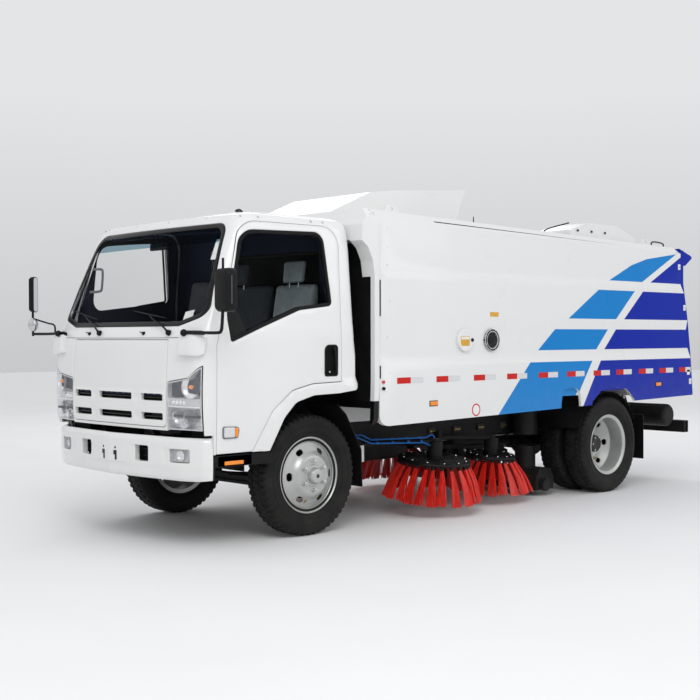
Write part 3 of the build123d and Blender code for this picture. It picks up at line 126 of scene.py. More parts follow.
def mat(name, col, rough=0.5, metal=0.0, coat=0.0, var=0.06, scale=5.0, rvar=0.08, bump=0.0, bscale=220.0,
        trans=0.0, ior=1.45, col2=None, low=None, alpha=None, spec=None, stretch=None, emit=0.0):
    """low = (z0, z1, colour, amount): a film of dust that thins out from z0 up to z1."""
    m = bpy.data.materials.new(name)
    m.use_nodes = True
    nt = m.node_tree
    N, L = nt.nodes, nt.links
    bs = N["Principled BSDF"]
    tc = N.new("ShaderNodeTexCoord")
    src = tc.outputs["Object"]
    if stretch:
        mp = N.new("ShaderNodeMapping")
        mp.inputs["Scale"].default_value = stretch
        L.new(src, mp.inputs["Vector"])
        src = mp.outputs["Vector"]
    no = N.new("ShaderNodeTexNoise")
    no.inputs["Scale"].default_value = scale
    no.inputs["Detail"].default_value = 5.0
    L.new(src, no.inputs["Vector"])
    mx = N.new("ShaderNodeMix")
    mx.data_type = "RGBA"
    a = [min(1, c * (1 - var)) for c in col[:3]] + [1]
    b = list(col2) + [1] if col2 else [min(1, c * (1 + var) + var * 0.01) for c in col[:3]] + [1]
    mx.inputs[6].default_value, mx.inputs[7].default_value = a, b
    cr = N.new("ShaderNodeMapRange")
    cr.inputs["From Min"].default_value, cr.inputs["From Max"].default_value = 0.32, 0.68
    L.new(no.outputs["Fac"], cr.inputs["Value"])
    L.new(cr.outputs["Result"], mx.inputs[0])
    out = mx.outputs[2]
    if low:
        z0, z1, dc, amt = low
        sp = N.new("ShaderNodeSeparateXYZ")
        L.new(tc.outputs["Object"], sp.inputs[0])
        mz = N.new("ShaderNodeMapRange")
        mz.inputs["From Min"].default_value, mz.inputs["From Max"].default_value = z0, z1
        mz.inputs["To Min"].default_value, mz.inputs["To Max"].default_value = amt, 0.0
        L.new(sp.outputs["Z"], mz.inputs["Value"])
        n2 = N.new("ShaderNodeTexNoise")
        n2.inputs["Scale"].default_value, n2.inputs["Detail"].default_value = 9.0, 7.0
        L.new(tc.outputs["Object"], n2.inputs["Vector"])
        mu = N.new("ShaderNodeMath")
        mu.operation = "MULTIPLY"
        mu.use_clamp = True
        L.new(mz.outputs["Result"], mu.inputs[0])
        L.new(n2.outputs["Fac"], mu.inputs[1])
        m2 = N.new("ShaderNodeMix")
        m2.data_type = "RGBA"
        m2.inputs[7].default_value = list(dc) + [1]
        L.new(mu.outputs[0], m2.inputs[0])
        L.new(out, m2.inputs[6])
        out = m2.outputs[2]
    L.new(out, bs.inputs["Base Color"])
    rr = N.new("ShaderNodeMapRange")
    rr.inputs["To Min"].default_value = max(0.02, rough - rvar)
    rr.inputs["To Max"].default_value = min(1.0, rough + rvar)
    L.new(no.outputs["Fac"], rr.inputs["Value"])
    L.new(rr.outputs["Result"], bs.inputs["Roughness"])
    bs.inputs["Metallic"].default_value = metal
    bs.inputs["Coat Weight"].default_value = coat
    bs.inputs["Coat Roughness"].default_value = 0.06
    bs.inputs["IOR"].default_value = ior
    bs.inputs["Transmission Weight"].default_value = trans
    if spec is not None:
        bs.inputs["Specular IOR Level"].default_value = spec
    if alpha is not None:
        bs.inputs["Alpha"].default_value = alpha
    if emit:
        L.new(out, bs.inputs["Emission Color"])
        bs.inputs["Emission Strength"].default_value = emit
    if bump:
        nb = N.new("ShaderNodeTexNoise")
        nb.inputs["Scale"].default_value, nb.inputs["Detail"].default_value = bscale, 3.0
        L.new(src, nb.inputs["Vector"])
        bp = N.new("ShaderNodeBump")
        bp.inputs["Strength"].default_value = bump
        bp.inputs["Distance"].default_value = 0.004
        L.new(nb.outputs["Fac"], bp.inputs["Height"])
        L.new(bp.outputs["Normal"], bs.inputs["Normal"])
    MATS[name] = m
    return m


DUST = (0.20, 0.185, 0.16)
WHITE = mat("white_cab_paint", (0.78, 0.785, 0.78), 0.24, coat=0.6, var=0.012, scale=2.2, rvar=0.04, low=(0.5, 1.2, (0.60, 0.59, 0.56), 0.22))
WHITE2 = mat("white_hopper_paint", (0.775, 0.78, 0.775), 0.30, coat=0.45, var=0.015, scale=1.8, rvar=0.05, bump=0.05, bscale=14, low=(0.8, 1.4, (0.60, 0.59, 0.56), 0.18))
SKY = mat("sky_blue_film", (0.016, 0.215, 0.57), 0.34, coat=0.1, var=0.05, scale=3.0, spec=0.25)
DEEP = mat("deep_blue_film", (0.0004, 0.017, 0.34), 0.38, coat=0.04, var=0.06, scale=3.0, spec=0.12)
BLACK = mat("black_chassis_paint", (0.0055, 0.0055, 0.006), 0.5, var=0.35, scale=7, low=(0.1, 1.1, DUST, 0.10), bump=0.10, bscale=60, spec=0.22)
BLACKP = mat("black_plastic", (0.0050, 0.0050, 0.0055), 0.45, var=0.15, scale=30, bump=0.12, bscale=500, spec=0.22)
TRIM = mat("black_gloss_trim", (0.0035, 0.0035, 0.0042), 0.20, coat=0.12, var=0.15, scale=12, spec=0.25)
GREYP = mat("grey_plastic", (0.16, 0.17, 0.18), 0.5, var=0.08, scale=20, bump=0.1, bscale=400)
RUBBER = mat("tyre_rubber", (0.0075, 0.0075, 0.0075), 0.66, var=0.25, scale=9, bump=0.14, bscale=300, col2=(0.014, 0.0135, 0.0125), low=(0.0, 0.5, (0.07, 0.066, 0.06), 0.22), spec=0.25)
HOSE = mat("black_hose", (0.006, 0.006, 0.0065), 0.5, var=0.2, scale=25, spec=0.25)
SILVER = mat("silver_wheel_paint", (0.50, 0.51, 0.50), 0.34, metal=0.55, var=0.06, scale=7, rvar=0.08, bump=0.06, bscale=120, low=(0.1, 0.8, (0.34, 0.32, 0.28), 0.30))
STEEL = mat("bright_steel", (0.62, 0.62, 0.63), 0.25, metal=0.9, var=0.12, scale=30)
IRON = mat("cast_iron", (0.035, 0.035, 0.037), 0.6, metal=0.3, var=0.3, scale=12, bump=0.3, bscale=90, col2=(0.065, 0.06, 0.056))
BRASS = mat("brass_fitting", (0.55, 0.40, 0.14), 0.32, metal=0.9, var=0.15, scale=20)
ZINC = mat("zinc_plate", (0.50, 0.49, 0.42), 0.4, metal=0.7, var=0.2, scale=15)
BLUEH = mat("blue_air_hose", (0.010, 0.17, 0.60), 0.33, var=0.08, scale=20)
YELLOWW = mat("yellow_wire", (0.65, 0.52, 0.03), 0.5, var=0.1, scale=30)
RED = mat("red_bristle", (0.72, 0.016, 0.008), 0.42, var=0.22, scale=26, stretch=(3, 3, 0.4), col2=(0.86, 0.035, 0.02))
GLASS = mat("cab_window_glass", (0.95, 0.97, 0.97), 0.02, trans=1.0, ior=1.05, var=0.02, scale=1.5, rvar=0.01, spec=0.9)
# darker copy of the clear window glass: painted shade on the left door's pane
SHADED_GLASS = mat("glass_darkened_as_shade", (0.40, 0.46, 0.46), 0.02, trans=1.0, ior=1.05, var=0.03, scale=1.5, rvar=0.01, spec=0.9)
BAND = mat("shade_band_glass", (0.10, 0.22, 0.30), 0.03, trans=1.0, ior=1.05, var=0.05, scale=1.5, rvar=0.01, spec=0.9)
LENS = mat("clear_lens", (0.92, 0.94, 0.95), 0.03, trans=1.0, ior=1.2, var=0.01, scale=3, rvar=0.01, spec=0.8)
COVERL = mat("lamp_cover", (0.95, 0.96, 0.97), 0.05, coat=0.5, alpha=0.13, var=0.01, scale=3, rvar=0.01)
AMBER = mat("amber_lens", (0.85, 0.25, 0.015), 0.16, coat=0.5, var=0.08, scale=40, emit=0.06)
REDL = mat("red_lens", (0.55, 0.012, 0.010), 0.16, coat=0.5, var=0.1, scale=40, emit=0.03)
REFLECT = mat("lamp_reflector", (0.84, 0.85, 0.87), 0.24, metal=0.6, var=0.05, scale=30)
SMOKE = mat("lamp_housing", (0.62, 0.63, 0.65), 0.24, metal=0.3, var=0.06, scale=12, coat=0.4)
TAPER = mat("red_reflective_tape", (0.56, 0.011, 0.008), 0.36, var=0.10, scale=160, coat=0.08, spec=0.22)
TAPEW = mat("white_reflective_tape", (0.66, 0.67, 0.68), 0.28, var=0.08, scale=160, coat=0.3)
PAPER = mat("white_label", (0.80, 0.80, 0.78), 0.5, var=0.03, scale=14)
YLABEL = mat("yellow_label", (0.66, 0.36, 0.03), 0.45, var=0.15, scale=40)
NAVY = mat("interior_navy", (0.010, 0.014, 0.030), 0.7, var=0.18, scale=14, bump=0.15, bscale=300, spec=0.25)
DASHM = mat("dash_grey", (0.014, 0.018, 0.034), 0.6, var=0.12, scale=20, bump=0.2, bscale=500, spec=0.25)
FABRIC = mat("seat_fabric", (0.085, 0.090, 0.105), 0.85, var=0.22, scale=60, bump=0.35, bscale=700)
HEADLIN = mat("headlining", (0.024, 0.032, 0.060), 0.9, var=0.06, scale=20, bump=0.2, bscale=400, spec=0.2)
MIRROR = mat("mirror_glass", (0.72, 0.75, 0.78), 0.03, metal=1.0, var=0.02, scale=3, rvar=0.01)
# near-black that stands for painted shade inside openings and recesses (behind the lid's slots and the bumper's
# lattice, the bumper's inner face, the handle's hollow); also black for the engine housing's screen
BLACK_AND_SHADE = mat("black_and_painted_shade", (0.0040, 0.0040, 0.0045), 0.75, var=0.3, scale=8, bump=0.1, bscale=80, spec=0.15)
SEAL = mat("black_seal", (0.0045, 0.0045, 0.005), 0.55, var=0.2, scale=40, spec=0.22)
TWOTONE = mat("engine_housing_paint", (0.775, 0.78, 0.775), 0.34, coat=0.1, var=0.015, scale=1.8, spec=0.25, low=(1.018, 1.022, (0.005, 0.005, 0.0055), 6.0))
FLOORM = mat("studio_floor", (0.86, 0.86, 0.86), 0.75, var=0.01, scale=0.8)

fm = bpy.data.meshes.new("floor")
fm.from_pydata([(-40, -40, 0), (40, -40, 0), (40, 40, 0), (-40, 40, 0)], [], [(0, 1, 2, 3)])
fo = bpy.data.objects.new("floor", fm)
bpy.context.scene.collection.objects.link(fo)
fm.materials.append(FLOORM)
fo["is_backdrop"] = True


# ---------------------------------------------------------------------------
# mesh building
# ---------------------------------------------------------------------------
def smooth_path(pts, n=6, closed=False):
    """Catmull-Rom through points."""
    P = [Vector(p) for p in pts]
    if len(P) < 3:
        return P
    out = []
    m = len(P)
    rng = range(m if closed else m - 1)
    for i in rng:
        p0 = P[(i - 1) % m] if closed or i > 0 else P[0] * 2 - P[1]
        p1, p2 = P[i], P[(i + 1) % m]
        p3 = P[(i + 2) % m] if closed or i + 2 < m else P[-1] * 2 - P[-2]
        for k in range(n):
            t = k / n
            out.append(0.5 * ((2 * p1) + (p2 - p0) * t + (2 * p0 - 5 * p1 + 4 * p2 - p3) * t * t + (3 * p1 - p0 - 3 * p2 + p3) * t ** 3))
    if not closed:
        out.append(P[-1])
    return out


def round_outline(pts, seg=6, dens=0.0):
    """Corner table (a, b[, r]) to a polyline with rounded corners; dens adds points along the straights."""
    n = len(pts)
    out = []
    for i in range(n):
        a, b, c = pts[i - 1], pts[i], pts[(i + 1) % n]
        rr = b[2] if len(b) > 2 else 0.0
        bx, by = b[0], b[1]
        ux, uy = a[0] - bx, a[1] - by
        vx, vy = c[0] - bx, c[1] - by
        lu, lv = math.hypot(ux, uy), math.hypot(vx, vy)
        ux, uy, vx, vy = ux / lu, uy / lu, vx / lv, vy / lv
        cs = max(-1, min(1, ux * vx + uy * vy))
        ang = math.acos(cs)
        if rr <= 1e-6 or ang > math.pi - 0.02:
            out.append((bx, by))
            continue
        t = rr / math.tan(ang / 2)
        t = min(t, lu * 0.49, lv * 0.49)
        rr = t * math.tan(ang / 2)
        px, py = bx + ux * t, by + uy * t
        qx, qy = bx + vx * t, by + vy * t
        bl = math.hypot(ux + vx, uy + vy)
        d = rr / math.sin(ang / 2)
        cx, cy = bx + (ux + vx) / bl * d, by + (uy + vy) / bl * d
        a0 = math.atan2(py - cy, px - cx)
        a1 = math.atan2(qy - cy, qx - cx)
        da = (a1 - a0 + math.pi) % (2 * math.pi) - math.pi
        k = max(2, int(abs(da) / (math.pi / 2) * seg) + 1)
        for j in range(k + 1):
            w = a0 + da * j / k
            out.append((cx + rr * math.cos(w), cy + rr * math.sin(w)))
    if dens > 0:
        o2 = []
        m = len(out)
        for i in range(m):
            p, q = out[i], out[(i + 1) % m]
            l = math.hypot(q[0] - p[0], q[1] - p[1])
            if l < 1e-7:
                continue
            k = max(1, int(math.ceil(l / dens)))
            for j in range(k):
                o2.append((p[0] + (q[0] - p[0]) * j / k, p[1] + (q[1] - p[1]) * j / k))
        out = o2
    return out


def area2(p):
    return sum(p[i][0] * p[(i + 1) % len(p)][1] - p[(i + 1) % len(p)][0] * p[i][1] for i in range(len(p))) / 2


def offset2(p, d):
    """Dense outline moved inward by d (sign from its own winding)."""
    n = len(p)
    s = 1 if area2(p) > 0 else -1
    out = []
    for i in range(n):
        a, b, c = p[i - 1], p[i], p[(i + 1) % n]
        d1 = (b[0] - a[0], b[1] - a[1])
        d2 = (c[0] - b[0], c[1] - b[1])
        l1, l2 = math.hypot(*d1) or 1e-9, math.hypot(*d2) or 1e-9
        nx = (-d1[1] / l1 - d2[1] / l2) * s
        ny = (d1[0] / l1 + d2[0] / l2) * s
        l = math.hypot(nx, ny) or 1e-9
        k = max(0.5, l / 2)
        out.append((b[0] + nx / l * d / k, b[1] + ny / l * d / k))
    return out


def inside(P, poly):
    """Even-odd test of many points against one outline."""
    P = np.asarray(P, float)
    x, y = P[:, 0], P[:, 1]
    q = np.asarray(poly, float)
    res = np.zeros(len(P), bool)
    j = len(q) - 1
    for i in range(len(q)):
        xi, yi, xj, yj = q[i, 0], q[i, 1], q[j, 0], q[j, 1]
        c = (yi > y) != (yj > y)
        if c.any():
            with np.errstate(divide="ignore", invalid="ignore"):
                res ^= c & (x < (xj - xi) * (y - yi) / (yj - yi + 1e-30) + xi)
        j = i
    return res


def fill(outer, holes=(), step=0.03, grid=True):
    """Triangles over a 2-D outline with holes. Returns points, triangles and the index lists of each loop."""
    loops = [outer] + list(holes)
    pts, edges, idx = [], [], []
    for lp in loops:
        s = len(pts)
        pts += [Vector(p) for p in lp]
        edges += [(s + i, s + (i + 1) % len(lp)) for i in range(len(lp))]
        idx.append(list(range(s, s + len(lp))))
    if grid:
        q = np.array(outer)
        x0, y0 = q.min(0)
        x1, y1 = q.max(0)
        gx = np.arange(x0 + step / 2, x1, step)
        gy = np.arange(y0 + step / 2, y1, step)
        G = np.array([(a, b) for b in gy for a in gx]) if len(gx) and len(gy) else np.zeros((0, 2))
        if len(G):
            ok = inside(G, outer)
            for h in holes:
                ok &= ~inside(G, h)
            G = G[ok]
            B = np.array([tuple(p) for p in pts])
            if len(G):
                keep = np.ones(len(G), bool)
                for i in range(0, len(G), 2000):
                    d = np.min(((G[i:i + 2000, None, :] - B[None, :, :]) ** 2).sum(2), axis=1)
                    keep[i:i + 2000] = d > (step * 0.45) ** 2
                pts += [Vector(g) for g in G[keep]]
    V, E_, F_, ov, oe, of_ = delaunay_2d_cdt(pts, edges, [], 0, 1e-6)
    V = np.array([tuple(v) for v in V])
    F_ = [tuple(t) for t in F_]
    C = np.array([V[list(t)].mean(0) for t in F_])
    ok = inside(C, outer)
    for h in holes:
        ok &= ~inside(C, h)
    tris = [t for t, k in zip(F_, ok) if k]
    back = {}
    for vi, src in enumerate(ov):
        for o in src:
            back[o] = vi
    loops_i = [[back[i] for i in l] for l in idx]
    return V, tris, loops_i


class Shape:
    """A growing mesh with a material for each face."""

    def __init__(self):
        self.v, self.f, self.m, self.mats = [], [], [], []

    def mi(self, m):
        if m not in self.mats:
            self.mats.append(m)
        return self.mats.index(m)

    def add(self, verts, faces, m, M=None):
        s = len(self.v)
        if M is not None:
            verts = [M @ Vector(p) for p in verts]
        self.v += [tuple(p) for p in verts]
        k = self.mi(m)
        self.f += [tuple(s + i for i in t) for t in faces]
        self.m += [k] * len(faces)
        return self

    def mirror(self):
        """Adds the mirror image across y = 0."""
        n = len(self.v)
        self.v += [(a, -b, c) for a, b, c in self.v]
        self.f += [tuple(reversed([i + n for i in t])) for t in self.f]
        self.m += list(self.m)
        return self

    def box(self, a, b, m, bev=0.0, M=None):
        x0, y0, z0 = [min(p, q) for p, q in zip(a, b)]
        x1, y1, z1 = [max(p, q) for p, q in zip(a, b)]
        e = min(bev, (x1 - x0) / 2.1, (y1 - y0) / 2.1, (z1 - z0) / 2.1)
        if e <= 0:
            v = [(x, y, z) for x in (x0, x1) for y in (y0, y1) for z in (z0, z1)]
            return self.add(v, [(0, 1, 3, 2), (4, 6, 7, 5), (0, 4, 5, 1), (2, 3, 7, 6), (0, 2, 6, 4), (1, 5, 7, 3)], m, M)
        v, fc = [], []
        lv = [(z0, e), (z0 + e * 0.29, e * 0.29), (z0 + e, 0), (z1 - e, 0), (z1 - e * 0.29, e * 0.29), (z1, e)]
        for z, ins in lv:
            ax0, ax1, ay0, ay1 = x0 + ins, x1 - ins, y0 + ins, y1 - ins
            c = max(e - ins, e * 0.35)
            for cx, cy, a0 in ((ax1 - c, ay1 - c, 0), (ax0 + c, ay1 - c, 90), (ax0 + c, ay0 + c, 180), (ax1 - c, ay0 + c, 270)):
                for k in range(3):
                    w = math.radians(a0 + 45 * k)
                    v.append((cx + c * math.cos(w), cy + c * math.sin(w), z))
        n = 12
        for i in range(len(lv) - 1):
            for j in range(n):
                fc.append((i * n + j, i * n + (j + 1) % n, (i + 1) * n + (j + 1) % n, (i + 1) * n + j))
        fc.append(tuple(reversed(range(n))))
        fc.append(tuple((len(lv) - 1) * n + j for j in range(n)))
        return self.add(v, fc, m, M)

    def cyl(self, p, q, r0, m, n=24, r1=None, cap=True, bev=0.0, hole=0.0):
        p, q = Vector(p), Vector(q)
        L = (q - p).length
        r1 = r0 if r1 is None else r1
        prof = [(r0, 0.0), (r1, L)]
        if bev:
            prof = [(r0 - bev, 0), (r0 - bev * 0.29, bev * 0.29), (r0, bev), (r1, L - bev), (r1 - bev * 0.29, L - bev * 0.29), (r1 - bev, L)]
        if hole:
            prof = [(hole, 0.0)] + prof + [(hole, L), (hole, 0.0)]
        elif cap:
            prof = [(0, 0)] + prof + [(0, L)]
        return self.lathe(prof, p, q - p, m, n)

    def lathe(self, prof, origin, axis, m, n=32, a0=0.0, a1=2 * math.pi, xref=None):
        """prof is (radius, height along axis)."""
        w = Vector(axis).normalized()
        t = Vector(xref) if xref else (Vector((0, 0, 1)) if abs(w.z) < 0.9 else Vector((1, 0, 0)))
        ux = (t - w * t.dot(w)).normalized()
        uy = w.cross(ux)
        o = Vector(origin)
        full = abs(a1 - a0 - 2 * math.pi) < 1e-6
        k = n if full else n + 1
        v, fc = [], []
        for rr, h in prof:
            for j in range(k):
                a = a0 + (a1 - a0) * j / n
                v.append(o + w * h + ux * (rr * math.cos(a)) + uy * (rr * math.sin(a)))
        for i in range(len(prof) - 1):
            for j in range(n):
                j2 = (j + 1) % k
                if prof[i][0] < 1e-7 and prof[i + 1][0] < 1e-7:
                    continue
                if prof[i][0] < 1e-7:
                    fc.append((i * k + j, (i + 1) * k + j2, (i + 1) * k + j))
                elif prof[i + 1][0] < 1e-7:
                    fc.append((i * k + j, i * k + j2, (i + 1) * k + j))
                else:
                    fc.append((i * k + j, i * k + j2, (i + 1) * k + j2, (i + 1) * k + j))
        return self.add(v, fc, m)

    def tube(self, pts, r, m, n=10, sm=6, closed=False, caps=True, flat=1.0):
        P = smooth_path(pts, sm, closed) if sm else [Vector(p) for p in pts]
        k = len(P)
        v, fc = [], []
        up = None
        for i in range(k):
            a = P[(i - 1) % k] if closed or i > 0 else P[i]
            b = P[(i + 1) % k] if closed or i < k - 1 else P[i]
            t = (b - a).normalized()
            if up is None:
                up = Vector((0, 0, 1)) if abs(t.z) < 0.9 else Vector((1, 0, 0))
            up = (up - t * up.dot(t)).normalized()
            sd = t.cross(up)
            rr = r(i / (k - 1)) if callable(r) else r
            for j in range(n):
                w = 2 * math.pi * j / n
                v.append(P[i] + sd * (rr * math.cos(w)) + up * (rr * flat * math.sin(w)))
        for i in range(k if closed else k - 1):
            for j in range(n):
                fc.append((i * n + j, i * n + (j + 1) % n, ((i + 1) % k) * n + (j + 1) % n, ((i + 1) % k) * n + j))
        if caps and not closed:
            fc.append(tuple(reversed(range(n))))
            fc.append(tuple((k - 1) * n + j for j in range(n)))
        return self.add(v, fc, m)

    def sphere(self, c, rr, m, n=20, sc=(1, 1, 1)):
        prof = [(math.sin(math.pi * i / 12), -math.cos(math.pi * i / 12)) for i in range(13)]
        prof[0] = (0, -1)
        prof[-1] = (0, 1)
        s = Shape()
        s.lathe(prof, (0, 0, 0), (0, 0, 1), m, n)
        v = [(c[0] + a * rr * sc[0], c[1] + b * rr * sc[1], c[2] + d * rr * sc[2]) for a, b, d in s.v]
        return self.add(v, s.f, m)

    def plate(self, outline, holes, place, depth, m, bev=0.0, step=0.2, grid=False, m_side=None, back=True):
        """A flat plate: place((a, b), h) gives the 3-D point of outline point (a, b) at height h; top at 0, bottom at -depth."""
        rings = [outline] + [h for h in holes]
        if bev > 0:
            ins = [offset2(outline, bev)] + [offset2(h, -bev) for h in holes]
        else:
            ins = rings
        V, T, li = fill(ins[0], ins[1:], step, grid)
        self.add([place((p[0], p[1]), 0.0) for p in V], T, m)
        for k, (r0_, r1_) in enumerate(zip(rings, ins)):
            lv = []
            if bev > 0:
                mid = [((a[0] * 0.29 + b[0] * 0.71), (a[1] * 0.29 + b[1] * 0.71)) for a, b in zip(r1_, r0_)]
                lv = [([place(p, 0.0) for p in r1_]), ([place(p, -bev * 0.29) for p in mid]), ([place(p, -bev) for p in r0_]), ([place(p, -depth) for p in r0_])]
            else:
                lv = [([place(p, 0.0) for p in r0_]), ([place(p, -depth) for p in r0_])]
            n = len(r0_)
            vv = [p for l in lv for p in l]
            ff = []
            ccw = (area2(r0_) > 0) == (k == 0)
            for i in range(len(lv) - 1):
                for j in range(n):
                    q = (i * n + j, (i + 1) * n + j, (i + 1) * n + (j + 1) % n, i * n + (j + 1) % n)
                    ff.append(q if ccw else tuple(reversed(q)))
            self.add(vv, ff, m_side or m)
        if back:
            V, T, li = fill(rings[0], rings[1:], step, False)
            self.add([place((p[0], p[1]), -depth) for p in V], [tuple(reversed(t)) for t in T], m)
        return self

    def make(self, name, body, replaces=(), angle=32, merge=1e-5, slot=None, fixn=True):
        me = bpy.data.meshes.new(name)
        me.from_pydata(self.v, [], self.f)
        for m in self.mats:
            me.materials.append(m)
        me.polygons.foreach_set("material_index", self.m)
        bm = bmesh.new()
        bm.from_mesh(me)
        if merge:
            bmesh.ops.remove_doubles(bm, verts=bm.verts, dist=merge)
        if fixn:
            bmesh.ops.recalc_face_normals(bm, faces=bm.faces)
        bm.to_mesh(me)
        bm.free()
        me.polygons.foreach_set("use_smooth", [True] * len(me.polygons))
        me.set_sharp_from_angle(angle=math.radians(angle))
        o = bpy.data.objects.new(name, me)
        bpy.context.scene.collection.objects.link(o)
        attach(o, body)
        if replaces:
            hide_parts(*replaces)
        return o


def cad(node, m, bevel=0.0, angle=30):
    """Shows a CAD node with a material, its faces shaded smooth, its edges softened."""
    o = NODES[node]
    me = o.data
    me.materials.clear()
    me.materials.append(m)
    w = o.modifiers.new("weld", "WELD")
    w.merge_threshold = 0.00005
    if bevel:
        b = o.modifiers.new("bevel", "BEVEL")
        b.width, b.segments, b.limit_method, b.angle_limit = bevel, 2, "ANGLE", math.radians(angle)
        b.harden_normals = False
        b.use_clamp_overlap = True
    if me.has_custom_normals:
        a = me.attributes.get("custom_normal")
        if a:
            me.attributes.remove(a)
    me.polygons.foreach_set("use_smooth", [True] * len(me.polygons))
    wn_ = o.modifiers.new("normals", "WEIGHTED_NORMAL") if bevel else o.modifiers.new("split", "EDGE_SPLIT")
    if bevel:
        wn_.weight, wn_.keep_sharp = 100, False
    else:
        wn_.split_angle = math.radians(angle)
    return o


# ---------------------------------------------------------------------------
# CAD nodes that are shown as they are
# ---------------------------------------------------------------------------
for n in ("frame_rails", "cross_members", "front_axle", "rear_axle", "propeller_shaft", "silencer", "rear_underrun", "suction_tubes",
          "left_knuckle", "right_knuckle", "tie_rod", "suction_mouth", "left_front_arm", "right_front_arm", "left_rear_arm",
          "right_rear_arm", "hoist_barrels", "air_tanks", "under_tanks", "fuel_tank"):
    cad(n, BLACK, 0.003)
cad("leaf_springs", BLACK)
for n in ("left_front_hoses", "right_front_hoses"):
    cad(n, BLUEH)
cad("mudguards", BLACKP, 0.002)
cad("wheel_housings", BLACKP, 0.003)
cad("hoist_rods", STEEL)
cad("engine_block", IRON, 0.010)
cad("auxiliary_engine", IRON, 0.010)
cad("housing_screen", BLACK_AND_SHADE)
cad("engine_housing", TWOTONE, 0.006)

cad("hopper_fittings", WHITE2, 0.003)
cad("rear_door", DEEP, 0.008)
cad("front_bumper", WHITE, 0.008)
cad("cab_shell", WHITE, 0.006)
cad("cab_glass", GLASS)
cad("left_door", WHITE, 0.004)
cad("right_door", WHITE, 0.004)
cad("left_door_glass", GLASS)
cad("right_door_glass", GLASS)
cad("front_lid", WHITE, 0.004)
cad("headlamps", SMOKE, 0.006)
cad("chassis_lamps", LENS, 0.004)
cad("dashboard", DASHM, 0.010)
cad("seats", FABRIC, 0.03)
cad("mirrors", TRIM, 0.012)
cad("steering_wheel", BLACKP)
for n in ("left_front_tyre", "right_front_tyre", "left_rear_tyres", "right_rear_tyres"):
    cad(n, RUBBER)
for n in ("left_front_rim", "right_front_rim", "left_rear_rims", "right_rear_rims"):
    cad(n, SILVER)
for n in ("left_front_brush", "right_front_brush", "left_rear_brush", "right_rear_brush"):
    cad(n, RED)


# ---------------------------------------------------------------------------
# the cab's outer form: a smooth surface, unrolled as (s, t)
# s runs from the middle of the front round the corner and back along the side, t is the height up to the roof
# ---------------------------------------------------------------------------
FORM = np.array([  # t, z, front middle x, shoulder x, shoulder y, half width, corner r, rear x
    (0.690, 0.690, 3.205, 3.190, 0.640, 1.006, 0.095, 1.668),
    (0.860, 0.860, 3.243, 3.222, 0.640, 1.012, 0.100, 1.665),
    (1.110, 1.110, 3.250, 3.228, 0.640, 1.018, 0.105, 1.660),
    (1.400, 1.400, 3.238, 3.218, 0.640, 1.020, 0.110, 1.668),
    (1.515, 1.515, 3.226, 3.207, 0.640, 1.020, 0.112, 1.680),
    (1.575, 1.575, 3.204, 3.188, 0.640, 1.018, 0.116, 1.683),
    (1.625, 1.625, 3.178, 3.164, 0.640, 1.014, 0.120, 1.685),
    (2.000, 2.000, 3.026, 3.008, 0.622, 0.996, 0.125, 1.700),
    (2.375, 2.375, 2.858, 2.836, 0.600, 0.972, 0.130, 1.722),
    (2.425, 2.420, 2.826, 2.804, 0.590, 0.952, 0.140, 1.738),
    (2.475, 2.448, 2.772, 2.748, 0.560, 0.915, 0.150, 1.765),
    (2.530, 2.462, 2.690, 2.665, 0.520, 0.850, 0.150, 1.815),
    (2.640, 2.467, 2.560, 2.535, 0.430, 0.700, 0.150, 1.930),
    (2.800, 2.470, 2.400, 2.380, 0.300, 0.480, 0.120, 2.060),
    (2.950, 2.471, 2.280, 2.270, 0.060, 0.120, 0.040, 2.200),
])


def pchip(x, y, q):
    """Monotone cubic through (x, y)."""
    h = np.diff(x)
    d = np.diff(y) / h
    m = np.zeros(len(x))
    for i in range(1, len(x) - 1):
        if d[i - 1] * d[i] > 0:
            w1, w2 = 2 * h[i] + h[i - 1], h[i] + 2 * h[i - 1]
            m[i] = (w1 + w2) / (w1 / d[i - 1] + w2 / d[i])
    m[0], m[-1] = d[0], d[-1]
    q = np.asarray(q, float)
    i = np.clip(np.searchsorted(x, q) - 1, 0, len(x) - 2)
    t = (q - x[i]) / h[i]
    return ((2 * t ** 3 - 3 * t ** 2 + 1) * y[i] + (t ** 3 - 2 * t ** 2 + t) * h[i] * m[i]
            + (-2 * t ** 3 + 3 * t ** 2) * y[i + 1] + (t ** 3 - t ** 2) * h[i] * m[i + 1])


def form(t):
    return [pchip(FORM[:, 0], FORM[:, k], t) for k in range(1, 8)]


LEANB = math.atan(0.07)          # the front's sweep back beyond the shoulder
CF = math.pi / 2 - LEANB         # turn of the corner


def corner(t):
    z, xf, xs, ys, hw, rr, xr = form(t)
    # the shoulder line leaves (xs, ys) with slope -0.07 and meets the side y = hw
    xk = xs - (hw - ys) * 0.07
    tl = rr * math.tan(CF / 2)
    yt = hw - tl * math.cos(LEANB)             # tangent point on the front
    xt_f = xk + tl * math.sin(LEANB)
    xt = xk - tl                               # tangent point on the side
    return z, xf, xs, ys, hw, rr, xr, yt, xt_f, xt


